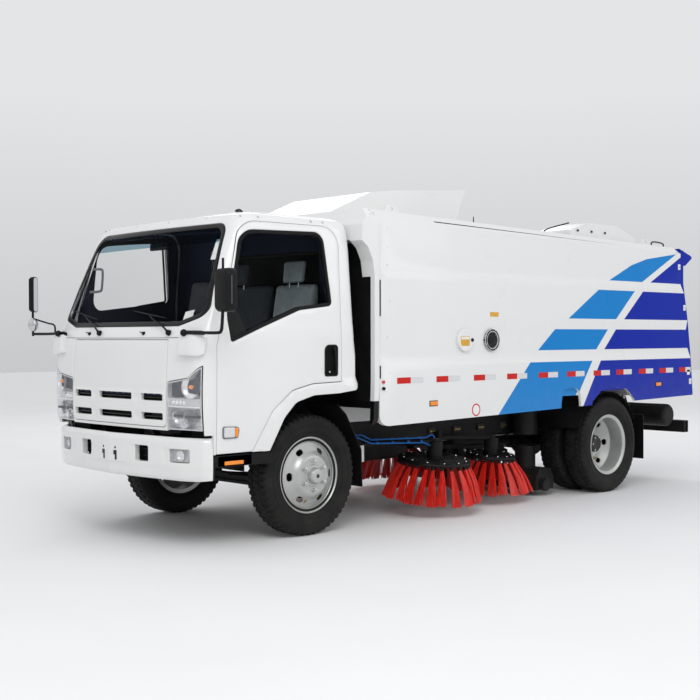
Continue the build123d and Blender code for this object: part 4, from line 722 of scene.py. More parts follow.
def P(s, t):
    """3-D points of the cab's outer form, left half for s > 0 and right half for s < 0."""
    s = np.asarray(s, float)
    t = np.asarray(t, float)
    sg = np.where(s < 0, -1.0, 1.0)
    a = np.abs(s)
    z, xf, xs, ys, hw, rr, xr, yt, xt_f, xt = corner(t)
    arc = rr * CF
    x = np.where(a <= ys, xf - (xf - xs) * (a / ys) ** 2, xs - (a - ys) * 0.07)
    y = a.copy()
    th = np.clip((a - yt) / rr, 0, CF)
    # arc centre: (xt, hw - rr)
    ax = xt + rr * np.sin(CF - th)
    ay = hw - rr + rr * np.cos(CF - th)
    on = a > yt
    x = np.where(on, ax, x)
    y = np.where(on, ay, y)
    side = a > yt + arc
    x = np.where(side, xt - (a - yt - arc), x)
    y = np.where(side, hw, y)
    back = side & (x < xr + 0.05)              # rounded rear corner
    d = np.clip(xr + 0.05 - x, 0, None)
    ph = np.clip(d / 0.05, 0, math.pi / 2)
    x = np.where(back, xr + 0.05 - 0.05 * np.sin(ph), x)
    y = np.where(back, hw - 0.05 * (1 - np.cos(ph)), y)
    rest = np.clip(d - 0.05 * math.pi / 2, 0, None)
    y = np.where(back, y - rest, y)
    return np.stack([x, y * sg, z], axis=-1)


def S_of_y(y, t):
    """s of a point seen from the front."""
    y = np.asarray(y, float)
    t = np.asarray(t, float)
    z, xf, xs, ys, hw, rr, xr, yt, xt_f, xt = corner(t)
    a = np.abs(y)
    c = np.clip((a - (hw - rr)) / rr, -1, 1)
    th = CF - np.arccos(c)
    s = np.where(a <= yt, a, yt + rr * np.clip(th, 0, CF))
    return s * np.sign(y)


def S_of_x(x, t):
    """s of a point seen from the side (left side)."""
    x = np.asarray(x, float)
    t = np.asarray(t, float)
    z, xf, xs, ys, hw, rr, xr, yt, xt_f, xt = corner(t)
    c = np.clip((x - xt) / rr, -1, 1)
    th = CF - np.arcsin(c)
    return np.where(x <= xt, yt + rr * CF + (xt - x), yt + rr * np.clip(th, 0, CF))


def Pn(s, t, d):
    """Points moved out by d along the surface's normal."""
    e = 2e-3
    p = P(s, t)
    du = P(np.asarray(s) + e, t) - P(np.asarray(s) - e, t)
    dv = P(s, np.asarray(t) + e) - P(s, np.asarray(t) - e)
    n = np.cross(du, dv)
    n /= np.linalg.norm(n, axis=-1, keepdims=True) + 1e-12
    out = n * np.where(np.asarray(n[..., 0] * (p[..., 0] - 2.3) + n[..., 1] * p[..., 1] + n[..., 2] * 0.3) < 0, -1, 1)[..., None]
    return p + out * np.asarray(d)[..., None] if np.ndim(d) else p + out * d


def from_side(pts, seg=7, dens=0.02):
    o = round_outline(pts, seg, dens)
    a = np.array(o)
    return [(float(s), float(t)) for s, t in zip(S_of_x(a[:, 0], a[:, 1]), a[:, 1])]


def from_front(pts, seg=7, dens=0.02):
    o = round_outline(pts, seg, dens)
    a = np.array(o)
    return [(float(s), float(t)) for s, t in zip(S_of_y(a[:, 0], a[:, 1]), a[:, 1])]


def grow2(pts, g):
    """Corner table moved outward by g."""
    n = len(pts)
    sg = 1.0 if area2([(p[0], p[1]) for p in pts]) > 0 else -1.0
    out = []
    for i in range(n):
        a, b, c = pts[i - 1], pts[i], pts[(i + 1) % n]
        d1 = (b[0] - a[0], b[1] - a[1])
        d2 = (c[0] - b[0], c[1] - b[1])
        l1, l2 = math.hypot(*d1), math.hypot(*d2)
        n1 = (d1[1] / l1 * sg, -d1[0] / l1 * sg)
        n2 = (d2[1] / l2 * sg, -d2[0] / l2 * sg)
        k = 1 + n1[0] * n2[0] + n1[1] * n2[1]
        rr = b[2] if len(b) > 2 else 0
        out.append((b[0] + g * (n1[0] + n2[0]) / k, b[1] + g * (n1[1] + n2[1]) / k, max(rr + (g if rr else 0), 0)))
    return out


def panel(shape, outer, holes, m, d=0.0, depth=0.022, bev=0.004, step=0.03, lift=None, m_edge=None, edge_holes=True, inner=False, edge_outer=True):
    """A panel of the cab's surface. outer and holes are (s, t) outlines; the edges are rolled by bev and turned in by depth.
    lift((s, t) arrays) adds to the height."""
    def put(q, h):
        q = np.array([(a, b) for a, b in q])
        hh = d + h + (lift(q[:, 0], q[:, 1]) if lift is not None else 0.0)
        return Pn(q[:, 0], q[:, 1], hh * np.ones(len(q)))
    rings = [outer] + list(holes)
    signs = [1] + [-1] * len(holes)
    if bev > 0:
        ins = [offset2(rg, sg * bev) for rg, sg in zip(rings, signs)]
    else:
        ins = rings
    V, T, li = fill(ins[0], ins[1:], step, True)
    shape.add(put(V, 0.0), T, m)
    for k, (r0_, r1_) in enumerate(zip(rings, ins)):
        if (k > 0 and not edge_holes) or (k == 0 and not edge_outer):
            continue
        mid = [((a[0] * 0.29 + b[0] * 0.71), (a[1] * 0.29 + b[1] * 0.71)) for a, b in zip(r1_, r0_)]
        lv = [put(r1_, 0.0), put(mid, -bev * 0.29), put(r0_, -bev), put(r0_, -depth)] if bev > 0 else [put(r0_, 0.0), put(r0_, -depth)]
        n = len(r0_)
        vv = np.concatenate(lv)
        ff = [(i * n + j, (i + 1) * n + j, (i + 1) * n + (j + 1) % n, i * n + (j + 1) % n) for i in range(len(lv) - 1) for j in range(n)]
        shape.add(vv, ff, m_edge or m)
    if inner:
        V, T, li = fill(rings[0], rings[1:], step * 1.6, True)
        shape.add(put(V, -depth), [tuple(reversed(t)) for t in T], m_edge or m)
    return shape


def open_chain(pts, seg=7, dens=0.02):
    o = round_outline(pts, seg, 0.0)
    out = []
    for p, q in zip(o[:-1], o[1:]):
        l = math.hypot(q[0] - p[0], q[1] - p[1])
        if l < 1e-7:
            continue
        k = max(1, int(math.ceil(l / dens)))
        out += [(p[0] + (q[0] - p[0]) * j / k, p[1] + (q[1] - p[1]) * j / k) for j in range(k)]
    return out + [o[-1]]


def side_chain(pts, seg=7, dens=0.02):
    a = np.array(open_chain(pts, seg, dens))
    return [(float(s), float(t)) for s, t in zip(S_of_x(a[:, 0], a[:, 1]), a[:, 1])]


def front_chain(pts, seg=7, dens=0.02):
    a = np.array(open_chain(pts, seg, dens))
    return [(float(s), float(t)) for s, t in zip(S_of_y(a[:, 0], a[:, 1]), a[:, 1])]


def s_back(t):
    """s where the outline meets the middle of the cab's back."""
    z, xf, xs, ys, hw, rr, xr, yt, xt_f, xt = corner(np.asarray(t, float))
    return yt + rr * CF + (xt - (xr + 0.05)) + 0.05 * math.pi / 2 + (hw - 0.05)


def back_chain(pts, dens=0.03):
    """(y, z) corners on the back, left half."""
    a = np.array(open_chain(pts, 5, dens))
    return [(float(b - y), float(t)) for y, t, b in zip(a[:, 0], a[:, 1], s_back(a[:, 1]))]


def mir(ch):
    return [(-s, t) for s, t in reversed(ch)]


def dedupe(c, e=1e-5):
    out = []
    for p in c:
        if not out or math.hypot(p[0] - out[-1][0], p[1] - out[-1][1]) > e:
            out.append(p)
    while len(out) > 1 and math.hypot(out[0][0] - out[-1][0], out[0][1] - out[-1][1]) <= e:
        out.pop()
    return out


ARCH = [(2.570, 0.692), (2.433, 0.931, 0.16), (2.319, 1.041, 0.12), (2.138, 1.087, 0.2), (1.871, 1.094, 0.2), (1.700, 1.112)]
DOOR = [(3.055, 0.692), (3.055, 1.480, 0.06), (2.796, 2.388, 0.18), (1.837, 2.394, 0.17), (1.837, 1.180, 0.010),
        (2.140, 1.172, 0.2), (2.345, 1.128, 0.14), (2.530, 0.985, 0.14), (2.722, 0.692)]
WIN = [(2.804, 2.316, 0.15), (2.003, 2.339, 0.10), (1.927, 1.773, 0.04), (2.260, 1.735, 0.2), (2.640, 1.600, 0.2),
       (2.925, 1.492, 0.02), (2.959, 1.699, 0.2)]
SCREEN = [(-0.975, 1.688, 0.09), (-0.712, 1.612, 0.10), (0.712, 1.612, 0.10), (0.975, 1.688, 0.09), (0.855, 2.376, 0.12),
          (-0.855, 2.376, 0.12)]
HANDLE = [(2.020, 1.226, 0.022), (1.880, 1.226, 0.022), (1.880, 1.472, 0.030), (2.020, 1.472, 0.050)]
LIDCUT = [(-0.643, 0.879, 0.043), (0.643, 0.879, 0.043), (0.643, 1.517, 0.010), (-0.643, 1.517, 0.010)]

left = front_chain([(0.0, 0.856), (0.644, 0.856), (0.644, 1.212, 0.03), (0.880, 1.245, 0.03), (0.985, 1.325, 0.02), (0.9985, 1.330), (0.9985, 0.832)])
left += side_chain([(3.074, 0.832), (3.074, 0.692), (3.055, 0.692)] + DOOR[1:] + [(2.570, 0.692)] + ARCH[1:])
left += back_chain([(0.95, 1.115), (0.0, 1.115)])
left += back_chain([(0.0, 1.85), (0.62, 1.85, 0.05), (0.62, 2.23, 0.05), (0.0, 2.23)])
left += [(float(s_back(t)), float(t)) for t in np.linspace(2.26, 2.80, 24)]
left = dedupe(left)
outline = dedupe(left + mir(left))

arch_xz = np.array(open_chain([(2.575, 0.60)] + ARCH[1:-1] + [(1.60, 1.10)], 7, 0.02))


def flare(s, t):
    """The wheel arch's raised lip."""
    p = P(s, t)
    q = p[:, [0, 2]]
    d = np.full(len(q), 9.0)
    for i in range(0, len(q), 4000):
        d[i:i + 4000] = np.sqrt(np.min(((q[i:i + 4000, None, :] - arch_xz[None]) ** 2).sum(2), axis=1))
    w = np.clip((0.100 - d) / 0.014, 0, 1)
    w = w * w * (3 - 2 * w)
    on = (p[:, 0] < 2.74) & (np.abs(p[:, 1]) > 0.93) & (p[:, 2] < 1.3)
    return np.where(on, 0.018 * w, 0.0)


sk = Shape()
screen_hole = from_front(SCREEN)
lid_hole = from_front(LIDCUT)
panel(sk, outline, [screen_hole, lid_hole], WHITE, depth=0.028, bev=0.004, step=0.032, lift=flare)
# roof centre
tt = 2.80
ss = np.linspace(-float(s_back(tt)), float(s_back(tt)), 80)[:-1]
top = Pn(ss, np.full(len(ss), tt), np.zeros(len(ss)))
sk.add(top, [tuple(range(len(top)))], WHITE)
# inner lining: the same form 40 mm in, without the lid's opening
ini = front_chain([(0.0, 1.10), (0.60, 1.10)])
ini += side_chain([(3.09, 1.10), (3.055, 1.10)] + DOOR[1:5] + [(1.76, 1.15)])
ini += back_chain([(0.90, 1.15), (0.0, 1.15)])
ini += back_chain([(0.0, 1.85), (0.62, 1.85, 0.05), (0.62, 2.23, 0.05), (0.0, 2.23)])
ini += [(float(s_back(t)), float(t)) for t in np.linspace(2.26, 2.80, 20)]
ini = dedupe(ini)
lin = dedupe(ini + mir(ini))
V, T, li = fill(lin, [screen_hole], 0.07, True)
sk.add(Pn(V[:, 0], V[:, 1], np.full(len(V), -0.040)), T, HEADLIN)
sk.add(top - np.array([0, 0, 0.04]), [tuple(reversed(range(len(top))))], HEADLIN)
# floor and raised rear floor
sk.box((2.60, -0.95, 0.955), (3.19, 0.95, 0.972), DASHM)
sk.box((1.72, -0.95, 1.150), (2.61, 0.95, 1.175), DASHM)
sk.box((2.59, -0.95, 0.955), (2.61, 0.95, 1.175), DASHM)
cabskin = sk.make("cab_body", "cab", ["cab_shell"], slot="white_paint")

# doors
for sgn, nm in ((1, "left_door"), (-1, "right_door")):
    dr = Shape()
    DO = grow2([(3.055, 0.692, 0.012)] + DOOR[1:-1] + [(2.722, 0.692, 0.012)], -0.0045)
    o = from_side(DO)
    w = from_side(WIN)
    if sgn < 0:
        o = mir(o)
        w = mir(w)
    hh = from_side(grow2(HANDLE, -0.003), 6, 0.010)
    if sgn < 0:
        hh = mir(hh)
    panel(dr, o, [w, hh], WHITE, depth=0.032, bev=0.004, step=0.034)
    wi = from_side(grow2(WIN, -0.028))
    if sgn < 0:
        wi = mir(wi)
    panel(dr, w, [wi], SEAL, d=0.001, depth=0.012, bev=0.003, step=0.03, edge_outer=False)
    # inner trim
    tr = from_side(grow2([(3.030, 0.86, 0.03), (3.030, 1.480, 0.06), (2.796, 2.388, 0.18), (1.837, 2.394, 0.17), (1.837, 1.200, 0.01),
                          (2.345, 1.150, 0.14), (2.60, 0.86, 0.05)], -0.02))
    if sgn < 0:
        tr = mir(tr)
    hole = wi
    if sgn < 0:
        hole = mir(from_side([(2.795, 2.285, 0.12), (1.985, 2.305, 0.08), (1.945, 1.780, 0.05), (2.800, 1.730, 0.10)]))
    V, T, li = fill(tr, [hole], 0.08, True)
    dr.add(Pn(V[:, 0], V[:, 1], np.full(len(V), -0.042)), T, DASHM)
    V, T, li = fill(w, [wi], 0.08, True)
    dr.make(nm + "_panel", nm, [nm], slot="white_paint")
    gl = Shape()
    V, T, li = fill(wi, [], 0.06, True)
    # the left pane takes the darkened glass as painted shade; the right pane is clear
    gl.add(Pn(V[:, 0], V[:, 1], np.full(len(V), -0.008)), T, SHADED_GLASS if sgn > 0 else GLASS)
    gl.make(nm + "_pane", nm, [nm + "_glass"], slot="glass")

# windscreen
ws = Shape()
so = from_front(grow2(SCREEN, -0.003))
si = from_front(grow2([(-0.975, 1.688, 0.10), (-0.712, 1.612, 0.11), (0.712, 1.612, 0.11), (0.975, 1.688, 0.10), (0.855, 2.376, 0.14),
                       (-0.855, 2.376, 0.14)], -0.038))
panel(ws, so, [si], TRIM, d=-0.001, depth=0.010, bev=0.002, step=0.03)
sa = np.array(si)
cut = 2.235
up_ = [p for p in si if p[1] > cut]
V, T, li = fill(si, [], 0.05, True)
C = np.array([V[list(t)].mean(0) for t in T])
G0 = [t for t, c in zip(T, C) if c[1] <= cut]
G1 = [t for t, c in zip(T, C) if c[1] > cut]
Vp = Pn(V[:, 0], V[:, 1], np.full(len(V), -0.003))
ws.add(Vp, G0, GLASS)
ws.add(Vp, G1, BAND)
# rear window
ws.plate(round_outline([(-0.62, 1.85, 0.05), (0.62, 1.85, 0.05), (0.62, 2.23, 0.05), (-0.62, 2.23, 0.05)], 5, 0.1),
         [round_outline([(-0.595, 1.875, 0.04), (0.595, 1.875, 0.04), (0.595, 2.205, 0.04), (-0.595, 2.205, 0.04)], 5, 0.1)],
         lambda q, h: (1.700 + h * -1 + (q[1] - 2.0) * 0.035, q[0], q[1]), 0.012, SEAL)
ws.plate(round_outline([(-0.595, 1.875, 0.04), (0.595, 1.875, 0.04), (0.595, 2.205, 0.04), (-0.595, 2.205, 0.04)], 5, 0.1), [],
         lambda q, h: (1.705 + h * -1 + (q[1] - 2.0) * 0.035, q[0], q[1]), 0.005, GLASS)
ws.make("windscreen", "cab", ["cab_glass"], slot="glass")


# ---------------------------------------------------------------------------
# livery: sky and deep blue blocks on the hopper's sides, as a material that
# picks its colour from the height band and the slanted edges (x, z in metres)
# ---------------------------------------------------------------------------
def livery():
    m = bpy.data.materials.new("hopper_livery")
    m.use_nodes = True
    nt = m.node_tree
    N, L = nt.nodes, nt.links
    bs = N["Principled BSDF"]
    tc = N.new("ShaderNodeTexCoord")
    sp = N.new("ShaderNodeSeparateXYZ")
    L.new(tc.outputs["Object"], sp.inputs[0])
    sn = N.new("ShaderNodeSeparateXYZ")
    L.new(tc.outputs["Normal"], sn.inputs[0])
    X, Y, Z = sp.outputs[0], sp.outputs[1], sp.outputs[2]

    def mth(op, a, b=None):
        n = N.new("ShaderNodeMath")
        n.operation = op
        for i, v in enumerate((a, b)):
            if v is None:
                continue
            if isinstance(v, (int, float)):
                n.inputs[i].default_value = v
            else:
                L.new(v, n.inputs[i])
        return n.outputs[0]

    def gt(a, c):
        return mth("GREATER_THAN", a, c)

    def lt(a, c):
        return mth("LESS_THAN", a, c)

    def behind(p, q):
        """1 where the point lies on the rear side of the line p-q."""
        (x0, z0), (x1, z1) = p, q
        k = (x1 - x0) / (z1 - z0)
        return mth("LESS_THAN", mth("SUBTRACT", X, mth("MULTIPLY", Z, k)), x0 - z0 * k)

    def ahead(p, q):
        return mth("SUBTRACT", 1.0, behind(p, q))

    def below(p, q):
        (x0, z0), (x1, z1) = p, q
        k = (z1 - z0) / (x1 - x0)
        return mth("LESS_THAN", mth("SUBTRACT", Z, mth("MULTIPLY", X, k)), z0 - x0 * k)

    def prod(*a):
        r = a[0]
        for b in a[1:]:
            r = mth("MULTIPLY", r, b)
        return r

    def total(a):
        r = a[0]
        for b in a[1:]:
            r = mth("MAXIMUM", r, b)
        return r
    side = prod(gt(mth("ABSOLUTE", sn.outputs[1]), 0.6), gt(mth("ABSOLUTE", Y), 1.05))
    r1, r2 = gt(Z, 2.081), prod(gt(Z, 1.699), lt(Z, 1.983))
    r3, r4 = prod(gt(Z, 1.404), lt(Z, 1.599)), lt(Z, 1.296)
    sky = total([
        prod(r1, ahead((-2.310, 2.083), (-2.955, 2.394)), below((-1.738, 2.088), (-2.11, 2.244)), below((-2.11, 2.244), (-2.386, 2.317)),
             below((-2.386, 2.317), (-2.955, 2.394))),
        prod(r2, behind((-1.518, 1.992), (-1.014, 1.699)), ahead((-2.135, 1.988), (-1.801, 1.701))),
        prod(r3, behind((-0.852, 1.606), (-0.576, 1.400)), ahead((-1.705, 1.604), (-1.503, 1.405))),
        prod(r4, behind((-0.439, 1.301), (0.014, 0.849)), ahead((-1.404, 1.303), (-1.182, 0.998)))])
    deep = total([
        prod(r1, behind((-2.447, 2.076), (-3.084, 2.387))),
        prod(r2, behind((-2.280, 1.984), (-1.938, 1.699))),
        prod(r3, behind((-1.843, 1.603), (-1.635, 1.402))),
        prod(r4, behind((-1.543, 1.303), (-1.251, 0.868)))])
    no = N.new("ShaderNodeTexNoise")
    no.inputs["Scale"].default_value, no.inputs["Detail"].default_value = 2.2, 5.0
    L.new(tc.outputs["Object"], no.inputs["Vector"])

    def tint(a, b):
        n = N.new("ShaderNodeMix")
        n.data_type = "RGBA"
        n.inputs[6].default_value, n.inputs[7].default_value = list(a) + [1], list(b) + [1]
        L.new(no.outputs["Fac"], n.inputs[0])
        return n.outputs[2]

    def over(base, top, fac):
        n = N.new("ShaderNodeMix")
        n.data_type = "RGBA"
        L.new(fac, n.inputs[0])
        L.new(base, n.inputs[6])
        L.new(top, n.inputs[7])
        return n.outputs[2]
    c = tint((0.765, 0.77, 0.765), (0.785, 0.79, 0.785))
    c = over(c, tint((0.004, 0.200, 0.560), (0.008, 0.220, 0.590)), mth("MULTIPLY", sky, side))
    c = over(c, tint((0.0002, 0.016, 0.330), (0.0004, 0.020, 0.360)), mth("MULTIPLY", deep, side))
    # road dust towards the skirt
    mz = N.new("ShaderNodeMapRange")
    mz.inputs["From Min"].default_value, mz.inputs["From Max"].default_value = 0.80, 1.35
    mz.inputs["To Min"].default_value, mz.inputs["To Max"].default_value = 0.09, 0.0
    L.new(Z, mz.inputs["Value"])
    n2 = N.new("ShaderNodeTexNoise")
    n2.inputs["Scale"].default_value, n2.inputs["Detail"].default_value = 8.0, 7.0
    L.new(tc.outputs["Object"], n2.inputs["Vector"])
    c = over(c, tint((0.60, 0.59, 0.56), (0.52, 0.51, 0.48)), mth("MULTIPLY", mz.outputs["Result"], n2.outputs["Fac"]))
    L.new(c, bs.inputs["Base Color"])
    rr = N.new("ShaderNodeMapRange")
    rr.inputs["To Min"].default_value, rr.inputs["To Max"].default_value = 0.24, 0.34
    L.new(no.outputs["Fac"], rr.inputs["Value"])
    L.new(rr.outputs["Result"], bs.inputs["Roughness"])
    blue = mth("MULTIPLY", total([sky, deep]), side)
    L.new(mth("SUBTRACT", 0.40, mth("MULTIPLY", blue, 0.39)), bs.inputs["Coat Weight"])
    bs.inputs["Specular IOR Level"].default_value = 0.12
    bs.inputs["Coat Roughness"].default_value = 0.08
    bp = N.new("ShaderNodeBump")
    bp.inputs["Strength"].default_value, bp.inputs["Distance"].default_value = 0.03, 0.004
    nb = N.new("ShaderNodeTexNoise")
    nb.inputs["Scale"].default_value = 5.0
    L.new(tc.outputs["Object"], nb.inputs["Vector"])
    L.new(nb.outputs["Fac"], bp.inputs["Height"])
    L.new(bp.outputs["Normal"], bs.inputs["Normal"])
    return m


cad("hopper_shell", livery(), 0.005)
# CAD brings the duct and the shell as one; the fittings are given below

# ---------------------------------------------------------------------------
# trim on the hopper
# ---------------------------------------------------------------------------
hp_ = Shape()
TAPE = [  # front edge, middle, rear edge of each red and white pair
    (1.303, 1.143, 0.989), (0.832, 0.683, 0.530), (0.353, 0.203, 0.056), (-0.099, -0.241, -0.385), (-0.557, -0.697, -0.847),
    (-0.990, -1.126, -1.268), (-1.417, -1.542, -1.690), (-1.802, -1.927, -2.073), (-2.199, -2.328, -2.464), (-2.583, -2.707, -2.846),
    (-2.964, -3.089, -3.196)]
for a, b, c in TAPE:
    for p, q, mm in ((a, b, TAPER), (b, c, TAPEW)):
        hp_.box((q + 0.0008, 1.0985, 1.151), (p - 0.0008, 1.1012, 1.201), mm)
# the front edge's black seam with its latch and rivets
for z0, z1, y in ((1.20, 1.300, 1.099), (1.300, 1.398, None), (1.398, 1.603, 1.071), (1.697, 1.985, 1.099), (2.078, 2.440, 1.071)):
    if y is None:
        continue
    hp_.box((1.479, y - 0.006, z0), (1.487, y - 0.0135 + 0.001, z1), SEAL)
for k in range(9):
    z = 1.24 + k * 0.145
    y = 1.072 if (1.40 < z < 1.60 or z > 2.078) else 1.0995
    if 1.30 < z < 1.40 or 1.60 < z < 1.70 or 1.985 < z < 2.078:
        continue
    hp_.lathe([(0, 0.0035), (0.004, 0.003), (0.007, 0.0)], (1.385, y - 0.0005, z), (0, 1, 0), STEEL, 12)
hp_.cyl((1.452, 1.088, 1.118), (1.452, 1.106, 1.118), 0.014, TRIM, 24, bev=0.004)
hp_.cyl((1.452, 1.106, 1.118), (1.452, 1.114, 1.118), 0.008, BLACKP, 20, bev=0.003)
hp_.box((1.438, 1.092, 1.158), (1.466, 1.1015, 1.182), REDL, 0.003)
# round filler cap with its label and knob
hp_.lathe([(0.0, 0.0), (0.097, 0.0), (0.097, 0.022), (0.090, 0.028), (0.074, 0.028), (0.072, 0.024), (0.0, 0.024)], (0.454, 1.0725, 1.502), (0, 1, 0), WHITE2, 48)
hp_.box((0.405, 1.0960, 1.452), (0.520, 1.0985, 1.536), YLABEL, 0.001)
hp_.box((0.412, 1.0983, 1.508), (0.512, 1.0990, 1.530), PAPER, 0.0)
hp_.cyl((0.372, 1.094, 1.502), (0.372, 1.108, 1.502), 0.016, BLACKP, 18, bev=0.004)
# sight window
hp_.lathe([(0.070, 0.006), (0.074, 0.0), (0.097, 0.0), (0.097, 0.020), (0.093, 0.025), (0.080, 0.025), (0.074, 0.018), (0.070, 0.006)], (0.094, 1.0725, 1.501), (0, 1, 0), BLACKP, 48)
hp_.lathe([(0.0, 0.016), (0.040, 0.015), (0.075, 0.011)], (0.094, 1.0725, 1.501), (0, 1, 0), TRIM, 40)
for k in range(8):
    a = math.radians(45 * k + 22)
    hp_.cyl((0.094 + 0.087 * math.cos(a), 1.096, 1.501 + 0.087 * math.sin(a)), (0.094 + 0.087 * math.cos(a), 1.0995, 1.501 + 0.087 * math.sin(a)), 0.005, STEEL, 10)
hp_.box((0.018, 1.098, 1.706), (0.135, 1.1012, 1.745), YLABEL, 0.0)
hp_.box((0.000, 1.0713, 1.612), (0.150, 1.0713 + 0.001, 1.613), YLABEL, 0.0)
# amber markers, blank round sign, small plate
for x, z in ((0.866, 0.976), (-2.558, 1.037)):
    hp_.box((x - 0.052, 1.096, z - 0.024), (x + 0.052, 1.103, z + 0.024), BLACKP, 0.003)
    hp_.box((x - 0.046, 1.100, z - 0.018), (x + 0.046, 1.110, z + 0.018), AMBER, 0.005)
hp_.lathe([(0.0, 0.0016), (0.043, 0.0016)], (0.324, 1.100, 0.899), (0, 1, 0), PAPER, 36)
hp_.lathe([(0.043, 0.0018), (0.054, 0.0018), (0.054, 0.0)], (0.324, 1.100, 0.899), (0, 1, 0), TAPER, 36)
hp_.box((-3.178, 1.098, 1.120), (-3.120, 1.1012, 1.172), PAPER, 0.0)
hp_.mirror()
# seam lines across the crease strips, hinge straps on the rear frame
for s in (1, -1):
    for z in (1.05, 1.83, 2.26):
        y = 1.1 if z < 2 else 1.072
        xr = {1.05: -3.215, 1.83: -3.100, 2.26: -3.040}[z]
        hp_.box((xr + 0.010, s * (y - 0.004), z - 0.030), (xr + 0.055, s * (y + 0.006), z + 0.030), WHITE2, 0.004)
        hp_.cyl((xr + 0.032, s * (y + 0.005), z), (xr + 0.032, s * (y + 0.010), z), 0.008, STEEL, 12)
# roof: a light rail, a spike by the front, bracket with a rod, lifting ears, cables
rz = lambda x: 2.556 - (1.410 - x) * 90 / 4710
hp_.cyl((-0.33, 0.515, rz(-0.33) - 0.02), (-0.33, 0.515, rz(-0.33) + 0.13), 0.008, TRIM, 12, r1=0.004)
hp_.tube([(-0.918, 0.86, rz(-0.9) - 0.005), (-1.02, 0.86, rz(-1.0) + 0.05), (-1.347, 0.86, 2.636)], 0.007, TRIM, 8, 5)
for k in range(3):
    hp_.box((-1.420 - 0.23 * k, 0.905, rz(-1.5) + 0.055), (-1.445 - 0.23 * k, 0.912, rz(-1.5) + 0.075), TRIM, 0.002)
hp_.tube([(-2.78, 0.88, rz(-2.78)), (-2.80, 0.88, rz(-2.78) + 0.05), (-3.00, 0.88, rz(-3.0) + 0.045), (-3.03, 0.86, rz(-3.0) - 0.01)], 0.008, TRIM, 8, 5)
hp_.tube([(-2.40, 0.80, rz(-2.4) + 0.01), (-2.70, 0.82, rz(-2.7) + 0.012), (-2.95, 0.80, rz(-2.95) + 0.012)], 0.010, HOSE, 8, 4)
# bolts along the roof duct's foot
for s in (1, -1):
    for k in range(9):
        x = 1.30 - k * 0.17
        z = 2.60 + 0.0
        hp_.lathe([(0, 0.006), (0.006, 0.005), (0.008, 0.0)], (x, s * 0.52, 2.566), (0, 0, 1), STEEL, 8)
hp_.make("hopper_trim", "hopper", slot="white_body_paint")

# ---------------------------------------------------------------------------
# front lid: slots with scooped edges, a raised grille part
# ---------------------------------------------------------------------------
ld = Shape()
SLOTS = []
for z in (1.095, 0.955):
    for y0, y1 in ((-0.605, -0.345), (-0.225, 0.225), (0.345, 0.605)):
        SLOTS.append((y0, y1, z))


def lid_lift(s, t):
    """The grille part stands proud of the lid's upper field and is scooped between the slots."""
    a = np.clip((1.140 - t) / 0.018, 0, 1)
    a = a * a * (3 - 2 * a)
    h = 0.007 * a
    for zc in (1.095, 0.955):
        w = np.exp(-((t - zc) / 0.030) ** 2)
        for yc in (-0.2925, 0.2925):
            h = h - 0.010 * w * np.exp(-(((s - yc) / 0.050) ** 2)) * a
    return h


lo = from_front(grow2([(-0.643, 0.879, 0.043), (0.643, 0.879, 0.043), (0.643, 1.517, 0.010), (-0.643, 1.517, 0.010)], -0.004))
lh = [from_front([(y0, z - 0.025, 0.011), (y1, z - 0.025, 0.011), (y1, z + 0.025, 0.011), (y0, z + 0.025, 0.011)], 4, 0.02) for y0, y1, z in SLOTS]
panel(ld, lo, lh, WHITE, depth=0.030, bev=0.005, step=0.016, lift=lid_lift)
for y0, y1, z in SLOTS:
    zz = z
    q = np.array([(y0 - 0.01, z), (y1 + 0.01, z)])
    for dz, mm, dd in ((-0.004, TRIM, -0.024),):
        pts = [tuple(Pn(np.array([yy]), np.array([z + dz]), np.array([dd]))[0]) for yy in np.linspace(y0 - 0.008, y1 + 0.008, 8)]
        ld.tube(pts, 0.0055, mm, 8, 0)
    # near-black box behind the slot: painted shade in the opening
    a = Pn(np.array([y0 - 0.012, y1 + 0.012, y1 + 0.012, y0 - 0.012]), np.array([z - 0.036, z - 0.036, z + 0.036, z + 0.036]), np.full(4, -0.048))
    ld.add([tuple(p) for p in a], [(0, 1, 2, 3)], BLACK_AND_SHADE)
V, T, li = fill(from_front(grow2([(-0.643, 0.879, 0.043), (0.643, 0.879, 0.043), (0.643, 1.517, 0.010), (-0.643, 1.517, 0.010)], -0.03)), [], 0.08, True)
ld.add(Pn(V[:, 0], V[:, 1], np.full(len(V), -0.031)), [t for t in T if V[list(t)].mean(0)[1] > 1.15], WHITE)
for s in (1, -1):
    ld.box((3.160, s * 0.56, 1.490), (3.200, s * 0.60, 1.512), BLACKP, 0.004)
ld.make("front_lid_panel", "front_lid", ["front_lid"], slot="white_paint")

